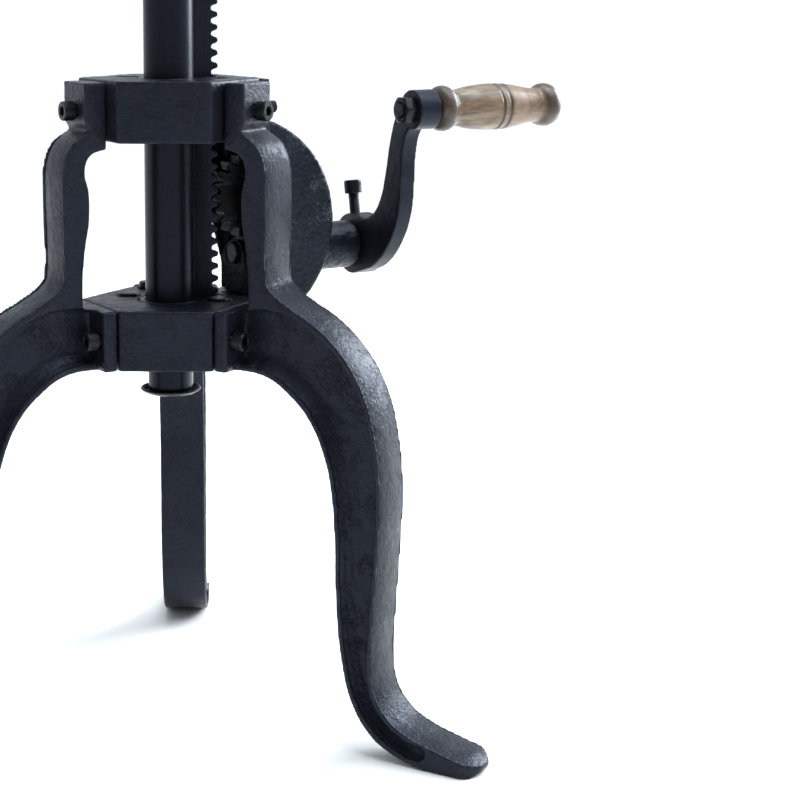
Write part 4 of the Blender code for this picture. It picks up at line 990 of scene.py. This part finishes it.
def make_worm():
    """Right-hand thread as a height field round the shaft, then hub, bore and pin."""
    tip, root = WORM_RADIUS + 0.86 * MODULE, WORM_RADIUS - 1.15 * MODULE
    middle = GEAR_REACH + PITCH / 2
    sides, rows = 72, 96
    heights = [WORM_START + (WORM_END - WORM_START) * k / rows for k in range(rows + 1)]

    def reach(k, side):
        along = heights[k]
        phase = (along - middle) / PITCH - side / sides
        off = abs(phase - floor(phase + 0.5))
        rise = min(1.0, max(0.0, (0.345 - off) / 0.215))
        rise = rise * rise * (3 - 2 * rise) * 0.25 + rise * 0.75
        edge = min(1.0, min(along - WORM_START, WORM_END - along) / 0.0008)
        return root + (tip - root) * rise * (0.85 + 0.15 * edge)

    worm = turned(heights, sides, reach)
    worm = combine(worm, [cylinder(WORM_HUB_RADIUS, WORM_END - 0.0005, WORM_HUB_END)], "UNION")
    worm = combine(worm, [cylinder(SHAFT_BORE, 0.04, 0.1), pin_hole()])
    piece(worm, "worm", "crank", GREASED, SHAFT)
    pin = lathe(chamfered(PIN_RADIUS, -PIN_HALF_LENGTH, PIN_HALF_LENGTH, 0.0003), PIN_AT, 20)
    steel(pin, "worm_pin", "crank", SHAFT)
    end = CRANK_FACE + CRANK_HUB_LENGTH + 0.001
    shaft = lathe(chamfered(SHAFT_RADIUS, SHAFT_START, end, 0.0008))
    shaft = combine(shaft, [pin_hole()])
    piece(shaft, "crank_shaft", "crank", GREASED, SHAFT)
    steel(ring(SHAFT_BORE, *THRUST_COLLAR), "thrust_collar", "crank", SHAFT)


# ---- crank
# the arm's middle line from shaft to handle, as (up, sideways, half width)
ARM_LINE = ((0.0, 0.0, 0.0212), (0.0015, 0.0125, 0.0200), (0.0045, 0.0245, 0.0178),
            (0.0155, 0.0400, 0.0145), (0.0330, 0.0505, 0.0125), (0.0520, 0.0545, 0.0105),
            (0.0740, 0.0580, 0.0088), (0.0900, 0.0640, 0.0090), (0.0990, 0.0730, 0.0110))


def arm_outline():
    """Both edges of the arm, square to its middle line."""
    left, right = [], []
    for k, (up, side, half) in enumerate(ARM_LINE):
        before, after = ARM_LINE[max(k - 1, 0)], ARM_LINE[min(k + 1, len(ARM_LINE) - 1)]
        run, rise = after[0] - before[0], after[1] - before[1]
        length = hypot(run, rise)
        across = (-rise / length * half, run / length * half)
        flow = ("smooth",) if 0 < k < len(ARM_LINE) - 1 else ()
        left.append((up + across[0], side + across[1], *flow))
        right.append((up - across[0], side - across[1], *flow))
    return left + right[::-1]


def make_crank():
    face = CRANK_FACE
    arm = plate(arm_outline(), CRANK_THICKNESS, move(0, 0, face + CRANK_THICKNESS / 2), 12)
    hub = cylinder(CRANK_HUB_RADIUS, face, face + CRANK_HUB_LENGTH, sides=80)
    boss = cylinder(CRANK_BOSS_RADIUS, face, face + CRANK_BOSS_LENGTH, sides=64,
                    at=(HANDLE_UP, HANDLE_SIDE))
    arm = combine(arm, [hub, boss], "UNION")
    tilt = turn_z(-10) @ move(0, 0, face + 0.0065)
    screw_at = tilt @ axes(Y, Z, X)
    arm = combine(arm, [
        cylinder(SHAFT_BORE, 0.1, 0.2),
        cylinder(HANDLE_BORE, 0.1, 0.3, at=(HANDLE_UP, HANDLE_SIDE)),
        cylinder(M8_HOLE, 0.002, 0.03, screw_at, sides=32)])
    casting(arm, "crank_arm", "crank", SMOOTH_IRON, SHAFT, CRANK_SKIN, 31)
    screw_reach = 0.0360
    set_at = SHAFT @ screw_at @ move(0, 0, screw_reach)
    cap_screw("crank_set_screw", "crank", set_at, SET_SCREW, screw_reach - SHAFT_RADIUS - GAP)


# the handle's outline, as (share of its length from the crank, radius)
GRIP_PROFILE = ((0.0, 0.0112), (0.008, 0.0128), (0.022, 0.0146), (0.042, 0.0157),
                (0.065, 0.0160), (0.088, 0.0156), (0.108, 0.0146), (0.122, 0.0134),
                (0.134, 0.0126), (0.148, 0.0123), (0.165, 0.0125), (0.195, 0.0132),
                (0.250, 0.0145), (0.310, 0.0154), (0.380, 0.0161), (0.450, 0.0164),
                (0.520, 0.0163), (0.580, 0.0160), (0.640, 0.0151), (0.700, 0.0139),
                (0.760, 0.0128), (0.805, 0.0121), (0.830, 0.0119), (0.848, 0.0121),
                (0.858, 0.0128), (0.868, 0.0139), (0.885, 0.0149), (0.908, 0.0154),
                (0.932, 0.0155), (0.955, 0.0150), (0.975, 0.0139), (0.990, 0.0122),
                (1.000, 0.0100))


def grip_radius(share):
    for (a, low), (b, high) in zip(GRIP_PROFILE, GRIP_PROFILE[1:]):
        if share <= b:
            return low + (high - low) * (share - a) / (b - a)
    return GRIP_PROFILE[-1][1]


def make_handle():
    steps = 150
    outer = []
    for k in range(steps + 1):
        share = k / steps
        around = [grip_radius(min(1, max(0, share + shift))) for shift in (-0.006, 0, 0.006)]
        radius = (around[0] + 2 * around[1] + around[2]) / 4
        for middle, half in BURN_RINGS:
            groove = max(0.0, 1 - abs(share - middle) / (half * 0.8))
            radius -= 0.0006 * groove * groove * (3 - 2 * groove)
        groove = max(0.0, 1 - abs(share - 0.122) / 0.010)
        radius -= 0.00035 * groove
        outer.append((radius - 0.0001, HANDLE_LENGTH * share))
    head_seat = HANDLE_LENGTH - 0.0045
    profile = outer[::-1] + [(HANDLE_BORE, 0), (HANDLE_BORE, head_seat), (0.0088, head_seat),
                             (0.0088, HANDLE_LENGTH)]
    grip = lathe(profile, steps=96)
    for vertex in grip.data.vertices:
        point = vertex.co
        reach = hypot(point.x, point.y)
        if reach > 0.0095:
            worn = 0.00030 * fbm(Vector((point.x * 90, point.y * 90, point.z * 30)), 2)
            vertex.co.x -= point.x / reach * worn
            vertex.co.y -= point.y / reach * worn
    piece(grip, "handle_grip", "grip", WOOD, HANDLE)
    start = CRANK_FACE - HANDLE_START - 0.0095
    rod = threaded_rod(HANDLE_BOLT_RADIUS, start, start + 0.0085, 0.0015, 0.00045)
    shank = lathe(chamfered(HANDLE_BOLT_RADIUS, start + 0.0083, head_seat + 0.0006, 0.0001))
    head = lathe([(0.0, head_seat + GAP), (0.0080, head_seat + GAP),
                  (0.0080, HANDLE_LENGTH - 0.0022), (0.0074, HANDLE_LENGTH - 0.0014),
                  (0.0055, HANDLE_LENGTH - 0.0010), (0.0, HANDLE_LENGTH - 0.0010)])
    bolt = combine(shank, [rod, head], "UNION")
    bolt = combine(bolt, [box((-0.0010, -0.02, HANDLE_LENGTH - 0.0022), (0.0010, 0.02, 0.2))])
    steel(bolt, "handle_bolt", "crank", HANDLE)
    nut_end = CRANK_FACE - HANDLE_START - GAP
    nut = hex_nut(0.0098, nut_end - 0.0080, nut_end, HANDLE_BORE)
    steel(nut, "handle_nut", "crank", HANDLE)
    washer = ring(HANDLE_BORE, 0.0105, -0.0015, -GAP, 0.0003)
    steel(washer, "handle_washer", "crank", HANDLE)


# ---- column
def rack_outline():
    """Bar and rounded teeth as (reach, height); a gap lies level with the gear's middle."""
    root = RACK_PITCH_LINE - 1.07 * MODULE
    tip = RACK_PITCH_LINE + 0.8 * MODULE - 0.0001
    low, high = GEAR_Z - 10 * PITCH, GEAR_Z + 30 * PITCH
    back = TUBE_FLAT + GAP
    shape = ((-0.375, 0.0), (-0.335, 0.08), (-0.300, 0.34), (-0.265, 0.58), (-0.225, 0.78),
             (-0.165, 0.92), (-0.095, 0.985), (-0.03, 1.0))
    points = [(back, high), (back, low), (root, low)]
    for tooth in range(40):
        middle = low + (tooth + 0.5) * PITCH
        for phase, rise in shape + tuple((-phase, rise) for phase, rise in shape[::-1]):
            points.append((root + (tip - root) * rise, middle + phase * PITCH))
    points.append((root, high))
    return points


def rack_screw_heights():
    low, high = GEAR_Z - 9 * PITCH, GEAR_Z + 29 * PITCH
    return [low + (high - low) * share for share in (0.03, 0.35, 0.66, 0.97)]


def make_column():
    drive = turn_z(DRIVE_AZIMUTH)
    tube = ring(TUBE_BORE_RADIUS, TUBE_RADIUS, TUBE_BOTTOM, TUBE_TOP, 0.0006, 128)
    cuts = [box((TUBE_FLAT, -0.02, 0.1), (0.03, 0.02, TOP_HUB_BOTTOM - 0.004), drive)]
    rack = polygon(rack_outline(), RACK_WIDTH, drive @ UPRIGHT)
    holes = []
    for number, height in enumerate(rack_screw_heights()):
        at = drive @ radial(0, 0, height)
        cuts.append(cylinder(M5_HOLE, 0.008, 0.03, at, sides=24))
        holes.append(cylinder(M5_HOLE + EASE, 0.005, 0.06, at, sides=24))
        holes.append(cylinder(M5[1] + GAP + EASE, RACK_SCREW_SEAT, 0.06, at, sides=32))
        seat = COLUMN @ drive @ radial(RACK_SCREW_SEAT + GAP, 0, height)
        cap_screw(f"rack_screw_{number + 1}", "column", seat, M5, 0.011)
    piece(combine(tube, cuts), "post_tube", "column", TUBE_PAINT)
    casting(combine(rack, holes), "post_rack", "column", TUBE_PAINT, COLUMN, RACK_SKIN, 41)
    make_foot()
    make_top()


def make_foot():
    spigot, stub = TUBE_BORE_RADIUS - GAP, 0.0155
    top, low = PLUG_BOTTOM - GAP, PLUG_BOTTOM - GAP - STOP_WASHER_THICKNESS
    hole_at_low = STOP_HEAD_RADIUS + STOP_HEAD_CLEARANCE
    hole_at_top, hole_at_plug = hole_at_low - (top - low), hole_at_low - (PLUG_BOTTOM - low)
    tube_end = TUBE_BOTTOM - GAP
    plug = lathe([(M8_HOLE, PLUG_TOP), (spigot - 0.0005, PLUG_TOP), (spigot, PLUG_TOP - 0.0005),
                  (spigot, tube_end), (stub - 0.0005, tube_end), (stub, tube_end - 0.0005),
                  (stub, PLUG_BOTTOM + 0.0006), (stub - 0.0006, PLUG_BOTTOM),
                  (hole_at_plug, PLUG_BOTTOM),
                  (M8_HOLE, PLUG_BOTTOM + hole_at_plug - M8_HOLE)], steps=96)
    piece(plug, "foot_plug", "column", TUBE_PAINT)
    edge = STOP_WASHER_RADIUS - 0.0001
    washer = lathe([(hole_at_top, top), (0.0156, top), (0.0168, top + 0.0003),
                    (0.0182, top + 0.0010), (edge - 0.0014, top + 0.0021),
                    (edge - 0.0006, top + 0.0020), (edge, top + 0.0014), (edge, top + 0.0009),
                    (edge - 0.0009, top), (0.0186, top - 0.0008), (0.0172, top - 0.0016),
                    (0.0160, low), (hole_at_low, low)], steps=96)
    steel(washer, "stop_washer", "column")
    cone = STOP_HEAD_RADIUS - M8[0]
    screw = lathe([(0.0, low + 0.0001), (STOP_HEAD_RADIUS - 0.0003, low + 0.0001),
                   (STOP_HEAD_RADIUS, low + 0.0004), (M8[0], low + cone),
                   (M8[0], low + 0.033), (M8[0] - 0.0006, low + 0.034),
                   (0.0, low + 0.034)], steps=64)
    screw = combine(screw, [cylinder(0.0028, low - 0.001, low + 0.0026, sides=6)])
    steel(screw, "stop_screw", "column")


def make_top():
    plate_bottom, flange_bottom = TUBE_TOP + GAP, TUBE_TOP - TOP_FLANGE_THICKNESS
    bore = TUBE_RADIUS + GAP
    hub_profile = [(bore, TUBE_TOP), (TOP_FLANGE_RADIUS, TUBE_TOP),
                   (TOP_FLANGE_RADIUS, flange_bottom), (0.0315, flange_bottom),
                   (0.0285, TUBE_TOP - 0.0082), (0.0268, TUBE_TOP - 0.0105),
                   (TOP_HUB_RADIUS, TUBE_TOP - 0.014), (TOP_HUB_RADIUS, TOP_HUB_BOTTOM),
                   (bore, TOP_HUB_BOTTOM)]
    hub = lathe(hub_profile, steps=96)
    at = axes(X, Z, -Y, (0, 0, TOP_HUB_BOTTOM + 0.011))
    cuts = [cylinder(M8_HOLE + EASE, 0.01, 0.04, at, sides=32)]
    screw_at = COLUMN @ at @ move(0, 0, TOP_HUB_RADIUS + 0.003)
    cap_screw("hub_set_screw", "column", screw_at, M8,
              TOP_HUB_RADIUS + 0.003 - TUBE_RADIUS - GAP)
    high = plate_bottom + TOP_PLATE_THICKNESS
    top = lathe([(0.0, plate_bottom), (TOP_PLATE_RADIUS - 0.0010, plate_bottom),
                 (TOP_PLATE_RADIUS, plate_bottom + 0.0010), (TOP_PLATE_RADIUS, high - 0.0014),
                 (TOP_PLATE_RADIUS - 0.0014, high), (0.0, high)], steps=128)
    top_cuts = []
    for number in range(4):
        angle = radians(45 + 90 * number)
        spot = polar(PLATE_SCREW_CIRCLE, angle)
        cuts.append(cylinder(M5_HOLE + EASE, 0.5, 0.8, at=spot, sides=24))
        top_cuts.append(cylinder(M5_HOLE, 0.5, plate_bottom + 0.006, at=spot, sides=24))
        seat = COLUMN @ axes(X, -Y, -Z, (*spot, flange_bottom - GAP))
        cap_screw(f"plate_screw_{number + 1}", "column", seat, M5, 0.012)
        fixing = move(*polar(FIXING_CIRCLE, angle), 0)
        top_cuts.append(lathe([(0.0, plate_bottom - 0.001), (0.0034, plate_bottom - 0.001),
                               (0.0028, plate_bottom + 0.0006), (0.0028, high - 0.0006),
                               (0.0034, high + 0.001), (0.0, high + 0.001)],
                              fixing, 32))
    casting(combine(hub, cuts), "top_hub", "column", IRON, COLUMN, HUB_SKIN, 51)
    casting(combine(top, top_cuts), "top_plate", "column", IRON, COLUMN, PLATE_SKIN, 52)


# ---- stage, light, camera
def make_stage():
    bm = bmesh.new()
    bmesh.ops.create_grid(bm, x_segments=1, y_segments=1, size=60)
    floor_obj = mesh_object(bm, move(0, 0, -0.0002))
    floor_obj.name = "studio_floor"
    w = Wiring("studio_white")
    tone = w.remap(w.noise(3, 2), 0.3, 0.7, 0.0, 1.0)
    floor_obj.data.materials.append(
        w.finish(w.mix(tone, (0.95, 0.93, 0.90), (0.97, 0.95, 0.92)), 0.8))
    world = bpy.data.worlds.new("studio")
    bpy.context.scene.world = world
    world.use_nodes = True
    tree = world.node_tree
    background = tree.nodes["Background"]
    direction = tree.nodes.new("ShaderNodeTexCoord")
    split = tree.nodes.new("ShaderNodeSeparateXYZ")
    tree.links.new(direction.outputs["Generated"], split.inputs[0])
    slope = tree.nodes.new("ShaderNodeMapRange")
    tree.links.new(split.outputs["Y"], slope.inputs["Value"])
    for key, value in (("From Min", -0.8), ("From Max", 0.5), ("To Min", 0.30),
                       ("To Max", 0.95)):
        slope.inputs[key].default_value = value
    tree.links.new(slope.outputs[0], background.inputs["Strength"])
    background.inputs["Color"].default_value = (0.85, 0.92, 1.0, 1)


LIGHT_COLOUR = (0.86, 0.93, 1.0)


def add_lamp(name, kind, power, aim, track, **settings):
    lamp = bpy.data.lights.new(name, kind)
    lamp.energy = power
    lamp.color = LIGHT_COLOUR
    for key, value in settings.items():
        setattr(lamp, key, value)
    obj = add_object(name, lamp)
    obj.rotation_euler = Vector(aim).to_track_quat(track, "Y").to_euler()
    return obj


def softbox(name, place, target, size, power):
    aim = Vector(target) - Vector(place)
    add_lamp(name, "AREA", power, aim, "-Z", shape="DISK", size=size).location = place


def sun_light(towards, energy, spread):
    """Broad even light from one direction; spread is its width in degrees."""
    add_lamp("sky_panel", "SUN", energy, towards, "Z", angle=radians(spread))


SENSOR_WIDTH, LENS = 36, 83.413
LENS_SHIFT = (0.183, -0.15)
CAMERA_PLACE = (0.0470, -1.3144, 0.5071)
CAMERA_DIP, CAMERA_YAW = 9.142, 0.912


def make_camera():
    data = bpy.data.cameras.new("camera")
    data.sensor_width = SENSOR_WIDTH
    data.lens = LENS
    data.shift_x, data.shift_y = LENS_SHIFT
    camera = add_object("camera", data)
    camera.rotation_mode = "QUATERNION"
    camera.location = CAMERA_PLACE
    look = Euler((radians(90 - CAMERA_DIP), 0, radians(CAMERA_YAW)))
    camera.rotation_quaternion = look.to_quaternion()
    bpy.context.scene.camera = camera


make_legs()
make_collar("upper_collar", UPPER_COLLAR_Z, 2, 5)
make_collar("lower_collar", LOWER_COLLAR_Z, 3, 6)
make_bush("upper_bush", UPPER_COLLAR_Z)
make_bush("lower_bush", LOWER_COLLAR_Z)
make_plugs()
make_housing()
make_worm_bearing()
make_gear()
make_worm()
make_crank()
make_handle()
make_column()
make_stage()
softbox("right_back", place=(1.5, 0.9, 0.9), target=(0.05, 0, 0.25), size=1.1, power=50)
softbox("top", place=(0.1, 0.1, 1.8), target=(0, 0, 0.3), size=1.2, power=14)
sun_light(towards=(0.45, -0.15, 1.0), energy=2.0, spread=50)
make_camera()
bpy.context.scene.view_settings.view_transform = "Standard"
for pattern_mesh in SCREW_PATTERNS.values():
    for obj in [o for o in bpy.data.objects if o.data == pattern_mesh]:
        bpy.data.objects.remove(obj)
